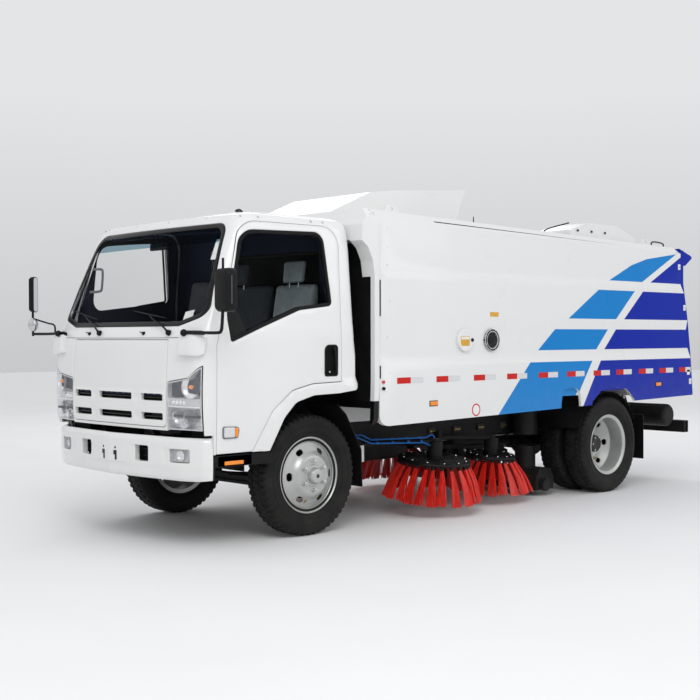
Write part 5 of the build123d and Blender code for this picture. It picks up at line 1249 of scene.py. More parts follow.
# ---------------------------------------------------------------------------
# headlamps
# ---------------------------------------------------------------------------
for s, nm in ((1, "left"), (-1, "right")):
    h = Shape()
    o = front_chain([(0.650, 0.866), (0.650, 1.207, 0.02), (0.880, 1.240, 0.03), (0.982, 1.316, 0.02), (0.9935, 1.322), (0.9935, 0.866)])
    o = dedupe(o)
    oo = o if s > 0 else mir(o)
    # rim of the housing, with its deep walls
    ins = offset2(oo, 0.008)
    panel(h, oo, [ins], SMOKE, d=-0.001, depth=0.012, bev=0.002, step=0.02)
    put_ = lambda q, d: Pn(np.array(q)[:, 0], np.array(q)[:, 1], np.full(len(q), d))
    n_ = len(ins)
    for d0, d1, shr0, shr1, mm in ((-0.003, -0.075, 0.0, 0.006, REFLECT),):
        r0_, r1_ = ins, offset2(ins, shr1)
        vv = np.concatenate([put_(r0_, d0), put_(r1_, d1)])
        h.add(vv, [(j, n_ + j, n_ + (j + 1) % n_, (j + 1) % n_) for j in range(n_)], mm)
    V, T, li = fill(offset2(ins, 0.006), [], 0.03, True)
    h.add(Pn(V[:, 0], V[:, 1], np.full(len(V), -0.075)), T, SMOKE)
    # clear cover
    V, T, li = fill(ins, [], 0.03, True)
    h.add(Pn(V[:, 0], V[:, 1], np.full(len(V), -0.002)), T, COVERL)
    fwd = Vector((0.97, 0.24 * s, 0.02))
    # upper chamber: turn signal dome with an orange bulb
    c = Pn(np.array([s * 0.885]), np.array([1.178]), np.array([-0.060]))[0]
    prof_ = [(0.086 * math.sin(a), 0.050 * (1 - math.cos(a))) for a in np.linspace(0, 1.45, 10)]
    h.lathe(prof_, tuple(c), fwd, REFLECT, 36)
    h.sphere((c[0] + 0.030, c[1] + 0.006 * s, c[2]), 0.016, AMBER, 16, (1.4, 1, 1))
    # light bar with four bumps, dividers
    for z0, z1, mm in ((1.028, 1.040, REFLECT), (1.086, 1.093, SMOKE), (1.034, 1.086, SMOKE)):
        dd = {REFLECT.name: -0.012, SMOKE.name: -0.030}[mm.name]
        ys_ = np.linspace(0.660, 0.992, 14)
        a = Pn(s * ys_, np.full(14, z0), np.full(14, dd))
        b = Pn(s * ys_, np.full(14, z1), np.full(14, dd))
        a2 = Pn(s * ys_, np.full(14, z0), np.full(14, -0.07))
        b2 = Pn(s * ys_, np.full(14, z1), np.full(14, -0.07))
        vv = np.concatenate([a, b, a2, b2])
        ff = []
        for j in range(13):
            ff += [(j, j + 1, 15 + j, 14 + j), (14 + j, 15 + j, 43 + j, 42 + j), (28 + j, 29 + j, j + 1, j)]
        h.add(vv, ff, mm)
    for k in range(4):
        q = Pn(np.array([s * (0.690 + 0.040 * k)]), np.array([1.060]), np.array([-0.028]))[0]
        h.sphere(tuple(q), 0.015, REFLECT, 16, (0.8, 1, 1.15))
    # lower chamber: two faceted bowls with their lamps
    for yy, zz, rr, fc in ((0.735, 0.950, 0.062, 11), (0.862, 0.962, 0.058, 11), (0.800, 0.905, 0.040, 9)):
        c = Pn(np.array([s * yy]), np.array([zz]), np.array([-0.068]))[0]
        prof_ = [(rr * math.sin(a), 0.052 * (1 - math.cos(a))) for a in np.linspace(0, 1.42, 6)]
        h.lathe(prof_, tuple(c), fwd, REFLECT, fc)
        h.sphere((c[0] + 0.022, c[1], c[2]), 0.010, LENS, 12, (1.6, 1, 1))
    if s > 0:
        h.make("left_headlamp", "cab", ["headlamps"], angle=24, slot="lamp_plastic")
    else:
        h.make("right_headlamp", "cab", ["headlamps"], angle=24, slot="lamp_plastic")

# ---------------------------------------------------------------------------
# bumper: a rolled shell with its openings and scooped lamp recesses
# ---------------------------------------------------------------------------
BPL = [(3.305, 0.0), (3.274, 0.380), (3.225, 0.790), (3.150, 0.975), (3.086, 1.012)]
plan = open_chain([BPL[0], BPL[1] + (0.5,), BPL[2] + (0.30,), BPL[3] + (0.070,), BPL[4]], 8, 0.012)
pa = np.array(plan)
sl = np.concatenate([[0], np.cumsum(np.hypot(*np.diff(pa, axis=0).T))])
LB = float(sl[-1])


def BP(s, z, d=0.0):
    """Point of the bumper's face: s along the plan from the middle, z height, d outwards."""
    s, z = np.asarray(s, float), np.asarray(z, float)
    a = np.abs(s)
    x, y = np.interp(a, sl, pa[:, 0]), np.interp(a, sl, pa[:, 1])
    e = 0.004
    dx = np.interp(a + e, sl, pa[:, 0]) - np.interp(a - e, sl, pa[:, 0])
    dy = np.interp(a + e, sl, pa[:, 1]) - np.interp(a - e, sl, pa[:, 1])
    l = np.hypot(dx, dy) + 1e-12
    nx, ny = dy / l, -dx / l
    nx = np.abs(nx)
    # the section rolls back at the top and at the lower lip
    top = np.clip((z - 0.770) / 0.042, 0, 1)
    bot = np.clip((0.545 - z) / 0.045, 0, 1)
    back = 0.026 * (1 - np.sqrt(np.clip(1 - top ** 2, 0, 1))) + 0.020 * (1 - np.sqrt(np.clip(1 - bot ** 2, 0, 1)))
    step = 0.0
    o = d - back - step
    return np.stack([x + nx * o, (y + ny * o) * np.where(s < 0, -1, 1), z], -1)


def sb(y):
    """Arc length at a given y."""
    return float(np.interp(abs(y), pa[:, 1], sl)) * (1 if y >= 0 else -1)


def zbot(s):
    """The lower edge rises a little towards the ends."""
    a = abs(s) / LB
    return 0.500 + 0.006 * a


bo_ = []
ns = 120
for i in range(ns + 1):
    s_ = -LB + 2 * LB * i / ns
    bo_.append((s_, 0.501 + 0.010 * max(0, abs(s_) / LB - 0.85) / 0.15))
top_ = []
for i in range(ns + 1):
    s_ = LB - 2 * LB * i / ns
    top_.append((s_, 0.812))
bout = dedupe(bo_ + [(LB, 0.60), (LB, 0.70)] + top_ + [(-LB, 0.70), (-LB, 0.60)])
bh = []
for y0, y1, z0, z1 in ((0.304, 0.458, 0.622, 0.738), (-0.458, -0.304, 0.622, 0.738), (0.682, 0.872, 0.632, 0.728), (-0.872, -0.682, 0.632, 0.728)):
    bh.append(round_outline([(sb(y0), z0, 0.014), (sb(y1), z0, 0.014), (sb(y1), z1, 0.014), (sb(y0), z1, 0.014)], 4, 0.02))
bs_ = Shape()


def bscoop(V):
    """Shallow run-ins on the inner side of each opening and a low step along the bumper's foot."""
    s, z = V[:, 0], V[:, 1]
    h = np.zeros(len(V))
    for yc, w in ((0.652, 0.045), (-0.652, 0.045)):
        c = sb(yc)
        h -= 0.010 * np.exp(-((s - c) / w) ** 2) * np.exp(-((z - 0.682) / 0.050) ** 4)
    for yc in (0.290, -0.290):
        h -= 0.006 * np.exp(-((s - sb(yc)) / 0.03) ** 2) * np.exp(-((z - 0.682) / 0.055) ** 4)
    # low step that runs along the foot of the bumper
    k = np.clip((0.592 - z) / 0.016, 0, 1)
    h += 0.0 - 0.006 * k * k * (3 - 2 * k)
    return h


bvi = offset2(bout, 0.004)
bhi = [offset2(q, -0.006) for q in bh]
V, T, li = fill(bout, bhi, 0.018, True)
bs_.add(BP(V[:, 0], V[:, 1], bscoop(V)), T, WHITE)
for q, qi in zip(bh, bhi):
    n_ = len(q)
    A, B = np.array(qi), np.array(q)
    vv = np.concatenate([BP(A[:, 0], A[:, 1], bscoop(A)), BP(B[:, 0], B[:, 1], bscoop(B) - 0.006), BP(B[:, 0], B[:, 1], np.full(n_, -0.050))])
    bs_.add(vv, [(i * n_ + j, (i + 1) * n_ + j, (i + 1) * n_ + (j + 1) % n_, i * n_ + (j + 1) % n_) for i in range(2) for j in range(n_)], WHITE)
B = np.array(bout)
n_ = len(B)
vv = np.concatenate([BP(B[:, 0], B[:, 1], bscoop(B)), BP(B[:, 0], B[:, 1], -0.038 + 0.024 * np.clip((B[:, 1] - 0.75) / 0.05, 0, 1))])
bs_.add(vv, [(j, n_ + j, n_ + (j + 1) % n_, (j + 1) % n_) for j in range(n_)], WHITE)
# inner face painted near-black as shade, stays, plate field
V, T, li = fill(bout, bh, 0.05, True)
bs_.add(BP(V[:, 0], V[:, 1], -0.034 + 0.022 * np.clip((V[:, 1] - 0.75) / 0.05, 0, 1)), [tuple(reversed(t)) for t in T], BLACK_AND_SHADE)
for s in (1, -1):
    bs_.box((3.1195, s * 0.480, 0.640), (3.240, s * 0.500, 0.700), BLACK, 0.002)
    bs_.box((3.060, s * 0.4255, 0.640), (3.132, s * 0.500, 0.700), BLACK, 0.002)
    # lattice behind the square opening
    for z in (0.655, 0.705):
        bs_.box((3.205, s * 0.306, z - 0.004), (3.212, s * 0.456, z + 0.004), BLACKP)
    # near-black sheet behind the lattice: painted shade
    bs_.box((3.195, s * 0.300, 0.615), (3.200, s * 0.462, 0.745), BLACK_AND_SHADE)
# plate pad: slightly proud field, two dots, two keyhole slots, ledge
pad = round_outline([(-0.190, 0.600, 0.012), (0.190, 0.600, 0.012), (0.190, 0.722, 0.012), (-0.190, 0.722, 0.012)], 4, 0.03)
V, T, li = fill(offset2(pad, 0.003), [], 0.03, True)
bs_.add(BP(V[:, 0], V[:, 1], np.full(len(V), 0.0035)), T, WHITE)
A, B = np.array(offset2(pad, 0.003)), np.array(pad)
n_ = len(A)
bs_.add(np.concatenate([BP(A[:, 0], A[:, 1], np.full(n_, 0.0035)), BP(B[:, 0], B[:, 1], np.full(n_, -0.002))]),
        [(j, n_ + j, n_ + (j + 1) % n_, (j + 1) % n_) for j in range(n_)], WHITE)
for y in (-0.080, 0.080):
    p = BP(np.array([y]), np.array([0.705]), np.array([0.0035]))[0]
    bs_.lathe([(0, 0.0008), (0.009, 0.0008), (0.010, 0.0)], tuple(p), (1, 0, 0), TRIM, 16)
    # keyhole slot: a dark plate sunk behind a rim
    ko = [(y - 0.020, 0.684), (y + 0.020, 0.684), (y + 0.020, 0.612), (y - 0.004, 0.612), (y - 0.004, 0.650), (y - 0.020, 0.650)]
    V, T, li = fill(ko, [], 0.02, False)
    bs_.add(BP(V[:, 0], V[:, 1], np.full(len(V), 0.0043)), T, TRIM)
for s in (1, -1):
    # points along the seam where the end piece meets the middle; nothing is drawn from them
    a = BP(np.array([s * sb(0.905)] * 6), np.linspace(0.52, 0.80, 6), np.full(6, 0.0004))
bs_.make("bumper_shell", "chassis", ["front_bumper"], angle=40, slot="white_paint")

# fog lamps and rear lamps
fl = Shape()
for s in (1, -1):
    V = np.array(round_outline([(sb(0.686), 0.636, 0.016), (sb(0.868), 0.636, 0.016), (sb(0.868), 0.724, 0.016), (sb(0.686), 0.724, 0.016)], 4, 0.02))
    V = V * np.array([s, 1])
    v2, T, li = fill([tuple(p) for p in V], [], 0.03, True)
    fl.add(BP(v2[:, 0], v2[:, 1], np.full(len(v2), -0.016)), T, COVERL)
    fl.add(BP(v2[:, 0], v2[:, 1], np.full(len(v2), -0.052)), T, SMOKE)
    n_ = len(V)
    fl.add(np.concatenate([BP(V[:, 0], V[:, 1], np.full(n_, -0.016)), BP(V[:, 0], V[:, 1], np.full(n_, -0.052))]),
           [(j, n_ + j, n_ + (j + 1) % n_, (j + 1) % n_) for j in range(n_)], SMOKE)
    c = BP(np.array([s * sb(0.776)]), np.array([0.680]), np.array([-0.050]))[0]
    fl.lathe([(0.030 * math.sin(a) * 1.2, 0.026 * (1 - math.cos(a))) for a in np.linspace(0, 1.45, 8)], tuple(c), (0.95, 0.3 * s, 0), REFLECT, 28)
    fl.sphere((c[0] + 0.015, c[1] + 0.004 * s, c[2]), 0.008, LENS, 12)
    for k in range(7):
        q = BP(np.array([s * sb(0.700 + 0.026 * k)] * 3), np.linspace(0.640, 0.720, 3), np.full(3, -0.0165))
        fl.tube([tuple(p) for p in q], 0.0016, LENS, 6, 0)
    # rear lamp cluster
    fl.box((-3.264, s * 0.640, 0.500), (-3.278, s * 0.990, 0.625), BLACKP, 0.004)
    for y0, y1, mm in ((0.648, 0.755, LENS), (0.762, 0.868, AMBER), (0.875, 0.982, REDL)):
        fl.box((-3.276, s * y0, 0.508), (-3.3015, s * y1, 0.617), mm, 0.008)
fl.make("lamp_units", "chassis", ["chassis_lamps"], slot="lamp_plastic")

# ---------------------------------------------------------------------------
# wheels
# ---------------------------------------------------------------------------
XF_, XR_, RT_ = 2.1, -1.715, 0.466


def tyre_mesh(sh, xc, yc, seed=0.0):
    """Tyre of revolution with blocks: shoulder lugs, two grooves, ribs on the wall."""
    n = 270
    half = [(0.262, 0.078), (0.275, 0.083), (0.292, 0.0845), (0.300, 0.092), (0.306, 0.094), (0.312, 0.0925), (0.330, 0.104), (0.350, 0.1125), (0.372, 0.1165),
            (0.395, 0.1160), (0.400, 0.1172), (0.406, 0.1160), (0.420, 0.1130), (0.436, 0.1090), (0.446, 0.1045), (0.456, 0.0985), (0.4625, 0.0915),
            (0.4655, 0.080), (0.466, 0.062), (0.466, 0.046), (0.466, 0.0435), (0.466, 0.0355), (0.466, 0.033), (0.466, 0.020), (0.466, 0.007), (0.466, 0.0)]
    prof_ = [(r, y, 1) for r, y in half] + [(r, -y, -1) for r, y in reversed(half[:-1])]
    v, f = [], []
    m_ = len(prof_)
    for j in range(n):
        ph = j % 5
        for i, (r, y, sg) in enumerate(prof_):
            a = 2 * math.pi * (j + (0.5 if sg < 0 else 0) * 2.5) / n + seed
            d = 0.0
            ay = abs(y)
            if r > 0.442 and ay > 0.052 and ph in (0, 1):
                d = 0.011 if r > 0.455 else 0.006
            elif r > 0.465 and (0.0355 <= ay <= 0.0435):
                d = 0.010
            elif r > 0.465 and ay < 0.034 and ph == 3:
                d = 0.006
            elif r > 0.465 and ay < 0.001:
                d = 0.0
            rr = r - d
            v.append((xc + rr * math.cos(a), yc + y, RT_ + rr * math.sin(a)))
    for j in range(n):
        for i in range(m_ - 1):
            a, b = j * m_ + i, ((j + 1) % n) * m_ + i
            f.append((a, b, b + 1, a + 1))
    sh.add(v, f, RUBBER)
    # wear marks and ribs round the wall
    for s in (1, -1):
        for rr, yy in ((0.338, 0.1085), (0.384, 0.1168)):
            sh.lathe([(rr - 0.0015, yy - 0.002), (rr, yy + 0.0012), (rr + 0.0015, yy - 0.002)], (xc, yc, RT_), (0, s, 0), RUBBER, 96)


def circle(r, n, a0=0.0):
    return [(r * math.cos(a0 + 2 * math.pi * k / n), r * math.sin(a0 + 2 * math.pi * k / n)) for k in range(n)]


def oblong(r, a, l, w, n=8):
    """Hand hole: l long round the wheel, w wide."""
    out = []
    ca, sa = math.cos(a), math.sin(a)
    for sg in (1, -1):
        for k in range(n + 1):
            t = -math.pi / 2 + math.pi * k / n
            u, v = sg * (l / 2 - w / 2 + w / 2 * math.cos(t)), sg * w / 2 * math.sin(t)
            out.append((r * ca + v * ca - u * sa, r * sa + v * sa + u * ca))
    return out


def disc(sh, xc, s, prof_, r0, r1, holes, m, thick=0.009):
    """A pressed disc: prof_ maps radius to y, holes are outlines in the wheel's plane."""
    pr = np.array(prof_)

    def yy(q, dy=0.0):
        r = math.hypot(q[0], q[1])
        return s * (float(np.interp(r, pr[:, 0], pr[:, 1])) + dy)
    V, T, li = fill(circle(r1, 72), [circle(r0, 40)] + holes, 0.011, True)
    sh.add([(xc + a, yy((a, b)), RT_ + b) for a, b in V], T, m)
    sh.add([(xc + a, yy((a, b), -thick), RT_ + b) for a, b in V], [tuple(reversed(t)) for t in T], m)
    for h in holes:
        n = len(h)
        lip = offset2(h, -0.004)
        vv = [(xc + a, yy((a, b)), RT_ + b) for a, b in h] + [(xc + a, yy((a, b), -thick), RT_ + b) for a, b in h]
        sh.add(vv, [(j, (j + 1) % n, n + (j + 1) % n, n + j) for j in range(n)], m)


def nut(sh, c, s, r=0.0165, h=0.026, m=None):
    m = m or STEEL
    sh.cyl(c, (c[0], c[1] + s * 0.004, c[2]), r * 1.25, m, 18)
    sh.cyl((c[0], c[1] + s * 0.004, c[2]), (c[0], c[1] + s * h, c[2]), r, m, 6, bev=0.0015)
    sh.cyl((c[0], c[1] + s * h, c[2]), (c[0], c[1] + s * (h + 0.011), c[2]), r * 0.55, m, 12, bev=0.001)


for s, nm in ((1, "left"), (-1, "right")):
    t = Shape()
    tyre_mesh(t, XF_, s * 0.840)
    t.make(nm + "_front_tyre_mesh", nm + "_front_wheel", [nm + "_front_tyre"], angle=28, slot="tyre_rubber")
    t = Shape()
    tyre_mesh(t, XR_, s * 0.973)
    tyre_mesh(t, XR_, s * 0.677, 0.02)
    t.make(nm + "_rear_tyre_mesh", nm + "_rear_wheels", [nm + "_rear_tyres"], angle=28, slot="tyre_rubber")
    # front rim
    r = Shape()
    r.lathe([(0.262, 0.760), (0.284, 0.757), (0.2945, 0.749), (0.2945, 0.745), (0.262, 0.752), (0.2615, 0.905), (0.258, 0.909), (0.262, 0.916), (0.270, 0.920),
             (0.279, 0.9215), (0.286, 0.926), (0.2905, 0.932), (0.2950, 0.930), (0.2955, 0.925), (0.290, 0.918), (0.280, 0.914), (0.266, 0.905), (0.266, 0.760)],
            (XF_, 0, RT_), (0, s, 0), SILVER, 96)
    pf = [(0.050, 0.978), (0.140, 0.978), (0.150, 0.976), (0.160, 0.970), (0.172, 0.958), (0.186, 0.945), (0.200, 0.9365), (0.215, 0.929), (0.235, 0.916), (0.262, 0.902)]
    holes_ = [oblong(0.206, math.radians(60 * k), 0.066, 0.040) for k in range(6)]
    disc(r, XF_, s, pf, 0.050, 0.262, holes_, SILVER)
    r.lathe([(0.0, 1.0295), (0.040, 1.0295), (0.052, 1.026), (0.060, 1.016), (0.064, 1.000), (0.066, 0.986), (0.082, 0.984), (0.086, 0.978)], (XF_, 0, RT_), (0, s, 0), SILVER, 48)
    r.lathe([(0.0, 1.0300), (0.016, 1.0298), (0.019, 1.028)], (XF_, 0, RT_), (0, s, 0), IRON, 24)
    for k in range(6):
        a = math.radians(60 * k + 30)
        nut(r, (XF_ + 0.111 * math.cos(a), s * 0.978, RT_ + 0.111 * math.sin(a)), s)
        a += math.radians(30)
        r.lathe([(0.0, 0.984), (0.006, 0.983), (0.0075, 0.978)], (XF_ + 0.076 * math.cos(a), 0, RT_ + 0.076 * math.sin(a)), (0, s, 0), STEEL, 12)
    r.lathe([(0.185, 0.772), (0.185, 0.850), (0.100, 0.852), (0.100, 0.975)], (XF_, 0, RT_), (0, s, 0), IRON, 48)
    a = math.radians(-75)
    r.tube([(XF_ + 0.222 * math.cos(a), s * 0.905, RT_ + 0.222 * math.sin(a)), (XF_ + 0.210 * math.cos(a), s * 0.935, RT_ + 0.210 * math.sin(a)),
            (XF_ + 0.195 * math.cos(a), s * 0.955, RT_ + 0.195 * math.sin(a))], 0.005, BRASS, 8, 4)
    r.make(nm + "_front_rim_mesh", nm + "_front_wheel", [nm + "_front_rim"], angle=35, slot="rim_steel")
    # rear rims: the outer disc lies deep in its barrel
    r = Shape()
    for yc in (0.973, 0.677):
        r.lathe([(0.2615, yc - 0.081), (0.284, yc - 0.088), (0.2945, yc - 0.092), (0.2945, yc - 0.088), (0.2665, yc - 0.076), (0.2665, yc + 0.076), (0.280, yc + 0.081),
                 (0.290, yc + 0.085), (0.2950, yc + 0.0905), (0.2935, yc + 0.0925), (0.2885, yc + 0.0915), (0.280, yc + 0.0865), (0.268, yc + 0.0835),
                 (0.2615, yc + 0.077), (0.2595, yc + 0.065), (0.2595, yc - 0.065), (0.2615, yc - 0.081)], (XR_, 0, RT_), (0, s, 0), SILVER, 96)
    pr_ = [(0.050, 0.825), (0.146, 0.825), (0.156, 0.828), (0.170, 0.842), (0.186, 0.859), (0.200, 0.870), (0.225, 0.888), (0.262, 0.911)]
    holes_ = [oblong(0.205, math.radians(60 * k), 0.062, 0.042) for k in range(6)]
    disc(r, XR_, s, pr_, 0.050, 0.2605, holes_, SILVER, thick=0.010)
    pi_ = [(0.050, 0.812), (0.146, 0.812), (0.196, 0.775), (0.262, 0.735)]
    disc(r, XR_, s, pi_, 0.050, 0.2605, holes_, SILVER, thick=0.010)
    r.lathe([(0.0, 0.934), (0.060, 0.934), (0.076, 0.928), (0.082, 0.915), (0.084, 0.850), (0.096, 0.848), (0.098, 0.826)], (XR_, 0, RT_), (0, s, 0), IRON, 40)
    r.lathe([(0.190, 0.592), (0.190, 0.738), (0.060, 0.740)], (XR_, 0, RT_), (0, s, 0), IRON, 48)
    for k in range(6):
        a = math.radians(60 * k + 30)
        nut(r, (XR_ + 0.111 * math.cos(a), s * 0.825, RT_ + 0.111 * math.sin(a)), s, m=ZINC)
        a += math.radians(30)
        r.cyl((XR_ + 0.068 * math.cos(a), s * 0.930, RT_ + 0.068 * math.sin(a)), (XR_ + 0.068 * math.cos(a), s * 0.938, RT_ + 0.068 * math.sin(a)), 0.008, STEEL, 6)
    a = math.radians(-58)
    r.tube([(XR_ + 0.240 * math.cos(a), s * 0.900, RT_ + 0.240 * math.sin(a)), (XR_ + 0.205 * math.cos(a), s * 0.915, RT_ + 0.205 * math.sin(a)),
            (XR_ + 0.150 * math.cos(a) + 0.02, s * 0.990, RT_ + 0.150 * math.sin(a)), (XR_ + 0.165 * math.cos(a) + 0.05, s * 1.010, RT_ + 0.175 * math.sin(a))], 0.005, BRASS, 8, 5)
    r.make(nm + "_rear_rim_mesh", nm + "_rear_wheels", [nm + "_rear_rims"], angle=35, slot="rim_steel")

# ---------------------------------------------------------------------------
# brushes: bunches of flat plastic bristle set round a black plate
# ---------------------------------------------------------------------------

rnd = random.Random(5)
for nm, cx, cy, hz_, rp, R, drop in (("front", 0.520, 0.790, 0.465, 0.320, 0.480, 0.350), ("rear", -0.420, 0.640, 0.430, 0.235, 0.450, 0.325)):
    for s, side in ((1, "left"), (-1, "right")):
        b = Shape()
        nrm = Vector((0, s * math.sin(math.radians(6)), math.cos(math.radians(6))))
        ux = Vector((1, 0, 0))
        uy = nrm.cross(ux)
        o = Vector((cx, s * cy, hz_))
        W = lambda r, a, h: o + ux * (r * math.cos(a)) + uy * (r * math.sin(a)) + nrm * h
        b.lathe([(0.0, 0.030), (0.070, 0.030), (0.072, 0.012), (rp - 0.014, 0.012), (rp - 0.002, 0.004), (rp, -0.010), (rp - 0.012, -0.020), (rp - 0.070, -0.030), (0.0, -0.034)], o, nrm, BLACKP, 48)
        for k in range(12):
            a = 2 * math.pi * k / 12
            p = W(rp - 0.040, a, 0.012)
            b.lathe([(0, 0.006), (0.007, 0.005), (0.009, 0.0)], p, nrm, STEEL, 8)
        nb = 25 if nm == "front" else 23
        for k in range(nb):
            a0 = 2 * math.pi * (k + 0.18 * rnd.uniform(-1, 1)) / nb
            # socket
            p, q = W(rp - 0.030, a0, -0.010), W(rp - 0.012, a0, -0.046)
            b.cyl(p, q, 0.017, BLACKP, 10)
            lean = rnd.uniform(-0.09, 0.09)
            sag, lift_ = rnd.uniform(0.0, 0.035), rnd.uniform(0.0, 0.016)
            for j in range(64):
                u = rnd.uniform(-1, 1)
                w = rnd.uniform(-1, 1)
                wide = 0.046
                r0, h0 = rp - 0.022 + w * 0.009, -0.030 + w * 0.004
                r2 = R - 0.020 - sag - 0.030 * max(0.0, -w) - 0.012 * rnd.random()
                h2 = -drop + 0.004 + 0.010 * abs(w) + 0.012 * rnd.random() + lift_
                # tips stay over the floor
                rm, hm = 0.5 * (r0 + r2) + 0.014, 0.5 * (h0 + h2) + 0.010
                pts = []
                for f_, (rr, hh) in ((0.0, (r0, h0)), (0.5, (rm, hm)), (1.0, (r2, h2))):
                    lat = u * (0.009 + (wide - 0.009) * f_) + rnd.uniform(-1, 1) * 0.0012
                    a = a0 + lat / rr + lean * f_ * 0.6
                    pts.append(W(rr, a, hh))
                if min(p_.z for p_ in pts) < 0.006:
                    pts[-1].z = 0.006 + rnd.random() * 0.004
                b.tube(pts, 0.0021, RED, 3, 2)
        b.make(side + "_" + nm + "_brush_mesh", side + "_" + nm + "_brush", [side + "_" + nm + "_brush"], angle=50, merge=0, slot="red_bristle", fixn=False)

# ---------------------------------------------------------------------------
# mirrors, wipers, door fittings and the cab's small parts
# ---------------------------------------------------------------------------
mr = Shape()
for s in (1, -1):
    # moulded base on the front corner
    c = Pn(np.array([float(S_of_y(0.905, 1.47)) * s]), np.array([1.47]), np.array([0.0]))[0]
    o = [(0.790, 1.402, 0.020), (1.000, 1.396, 0.030), (1.006, 1.540, 0.020), (0.800, 1.548, 0.020)]
    q = from_front(o, 5, 0.012)
    q = q if s > 0 else mir(q)
    panel(mr, q, [], WHITE, d=0.042, depth=0.045, bev=0.012, step=0.02)
    q = from_front(grow2([(0.805, 1.536, 0.01), (0.995, 1.532, 0.01), (0.985, 1.570, 0.016), (0.820, 1.572, 0.016)], 0.0), 5, 0.012)
    q = q if s > 0 else mir(q)
    panel(mr, q, [], BLACKP, d=0.034, depth=0.036, bev=0.008, step=0.02)
    mr.sphere((3.232, s * 0.868, 1.564), 0.026, BLACKP, 18)
    if s > 0:
        mr.tube([(3.225, 0.868, 1.566), (3.200, 1.05, 1.563), (3.186, 1.205, 1.563), (3.182, 1.236, 1.575), (3.176, 1.240, 1.62), (3.166, 1.240, 1.78)], 0.0115, BLACKP, 12, 6)
    else:
        mr.tube([(3.225, -0.868, 1.566), (3.218, -1.05, 1.562), (3.240, -1.268, 1.562)], 0.0115, BLACKP, 12, 6)
mr.make("mirror_arms", "cab", ["mirrors"], slot="black_plastic")
hm = Shape()
# left head: tall rounded housing, its glass faces back
def head(sh, s, x0, x1, y0, y1, z0, z1, rr=0.05):
    o = round_outline([(s * y0, z0, rr), (s * y1, z0, rr), (s * y1, z1, rr), (s * y0, z1, rr)], 8, 0.0)
    if s < 0:
        o = list(reversed(o))
    n = len(o)
    lv = []
    for d, x in ((0.034, x1), (0.014, x1 - 0.006), (0.003, x1 - 0.020), (0.0, x1 - 0.040), (0.0, x0 + 0.006), (0.003, x0)):
        q = offset2(o, d)
        lv.append([(x, a, b) for a, b in q])
    vv = [p for l in lv for p in l]
    ff = [(i * n + j, i * n + (j + 1) % n, (i + 1) * n + (j + 1) % n, (i + 1) * n + j) for i in range(len(lv) - 1) for j in range(n)]
    ff.append(tuple(range(n)))
    sh.add(vv, ff, BLACKP)
    q = offset2(o, 0.008)
    sh.add([(x0 + 0.002, a, b) for a, b in offset2(o, 0.003)], [tuple(reversed(range(n)))], BLACKP)
    sh.add([(x0 + 0.0005, a, b) for a, b in q], [tuple(reversed(range(n)))], MIRROR)
    # a pale trim line down the outer edge
    sh.tube([(0.5 * (x0 + x1) + 0.010, s * (y1 + 0.0005), z0 + 0.055), (0.5 * (x0 + x1) + 0.010, s * (y1 + 0.0005), z1 - 0.055)], 0.0022, GREYP, 6, 0)


head(hm, 1, 3.110, 3.190, 1.152, 1.330, 1.706, 2.010)
hm.box((3.150, 1.222, 2.000), (3.166, 1.236, 2.080), BLACKP, 0.005)
n0 = len(hm.v)
head(hm, -1, -0.0255, 0.0255, -0.0610, 0.0610, 1.743, 2.040, 0.035)
ca, sa_ = math.cos(math.radians(-46)), math.sin(math.radians(-46))
for i in range(n0, len(hm.v)):
    x, y, z = hm.v[i]
    hm.v[i] = (3.241 + x * ca - y * sa_, -1.267 + x * sa_ + y * ca, z)
# round convex mirror under the right head, with its bright back
hm.sphere((3.239, -1.268, 1.640), 0.060, STEEL, 28, (0.62, 1, 1))
hm.lathe([(0.0, 0.0), (0.055, 0.0), (0.060, 0.004), (0.058, 0.012)], (3.230, -1.264, 1.640), (-0.9, 0.43, 0), MIRROR, 32)
hm.tube([(3.241, -1.266, 1.545), (3.241, -1.268, 1.600), (3.241, -1.268, 1.750)], 0.010, BLACKP, 8, 4)
hm.tube([(3.200, -0.972, 1.566), (3.207, -0.975, 1.632), (3.216, -1.06, 1.650), (3.232, -1.19, 1.676), (3.241, -1.256, 1.690)], 0.0075, BLACKP, 8, 5)
hm.make("mirror_heads", "cab", slot="black_plastic")

wp = Shape()


def on_screen(y, t, d=0.006):
    return tuple(Pn(np.array([float(S_of_y(y, t))]), np.array([t]), np.array([d]))[0])


for y0, tip, t1 in ((-0.270, -0.760, 1.740), (0.640, 0.170, 1.720)):
    p = on_screen(y0, 1.562, 0.004)
    wp.lathe([(0.0, 0.022), (0.016, 0.022), (0.020, 0.018), (0.022, 0.0)], p, (0.95, 0, 0.3), BLACKP, 20)
    el = on_screen(y0 - 0.05, 1.590, 0.030)
    mid = on_screen(0.55 * y0 + 0.45 * tip, 1.562 + 0.55 * (t1 - 1.562), 0.034)
    wp.tube([on_screen(y0, 1.562, 0.022), el, mid], lambda f: 0.009 - 0.004 * f, BLACKP, 8, 5)
    a, b2 = on_screen(0.30 * y0 + 0.70 * tip + 0.245, 1.665, 0.014), on_screen(tip - 0.055, t1 + 0.005, 0.014)
    cpts = [tuple(Vector(a).lerp(Vector(b2), f)) for f in np.linspace(0, 1, 7)]
    cp2 = [on_screen(float(0.30 * y0 + 0.70 * tip + 0.245 + f * (tip - 0.055 - (0.30 * y0 + 0.70 * tip + 0.245))), 1.665 + f * (t1 + 0.005 - 1.665), 0.010) for f in np.linspace(0, 1, 9)]
    wp.tube([(x + 0.010, y, z + 0.003) for x, y, z in cp2], 0.0045, BLACKP, 8, 0)
    wp.tube(cp2, 0.0055, RUBBER, 6, 0, flat=0.4)
    wp.tube([mid, tuple(Vector(cp2[4]) + Vector((0.010, 0, 0.003)))], 0.006, BLACKP, 8, 0)
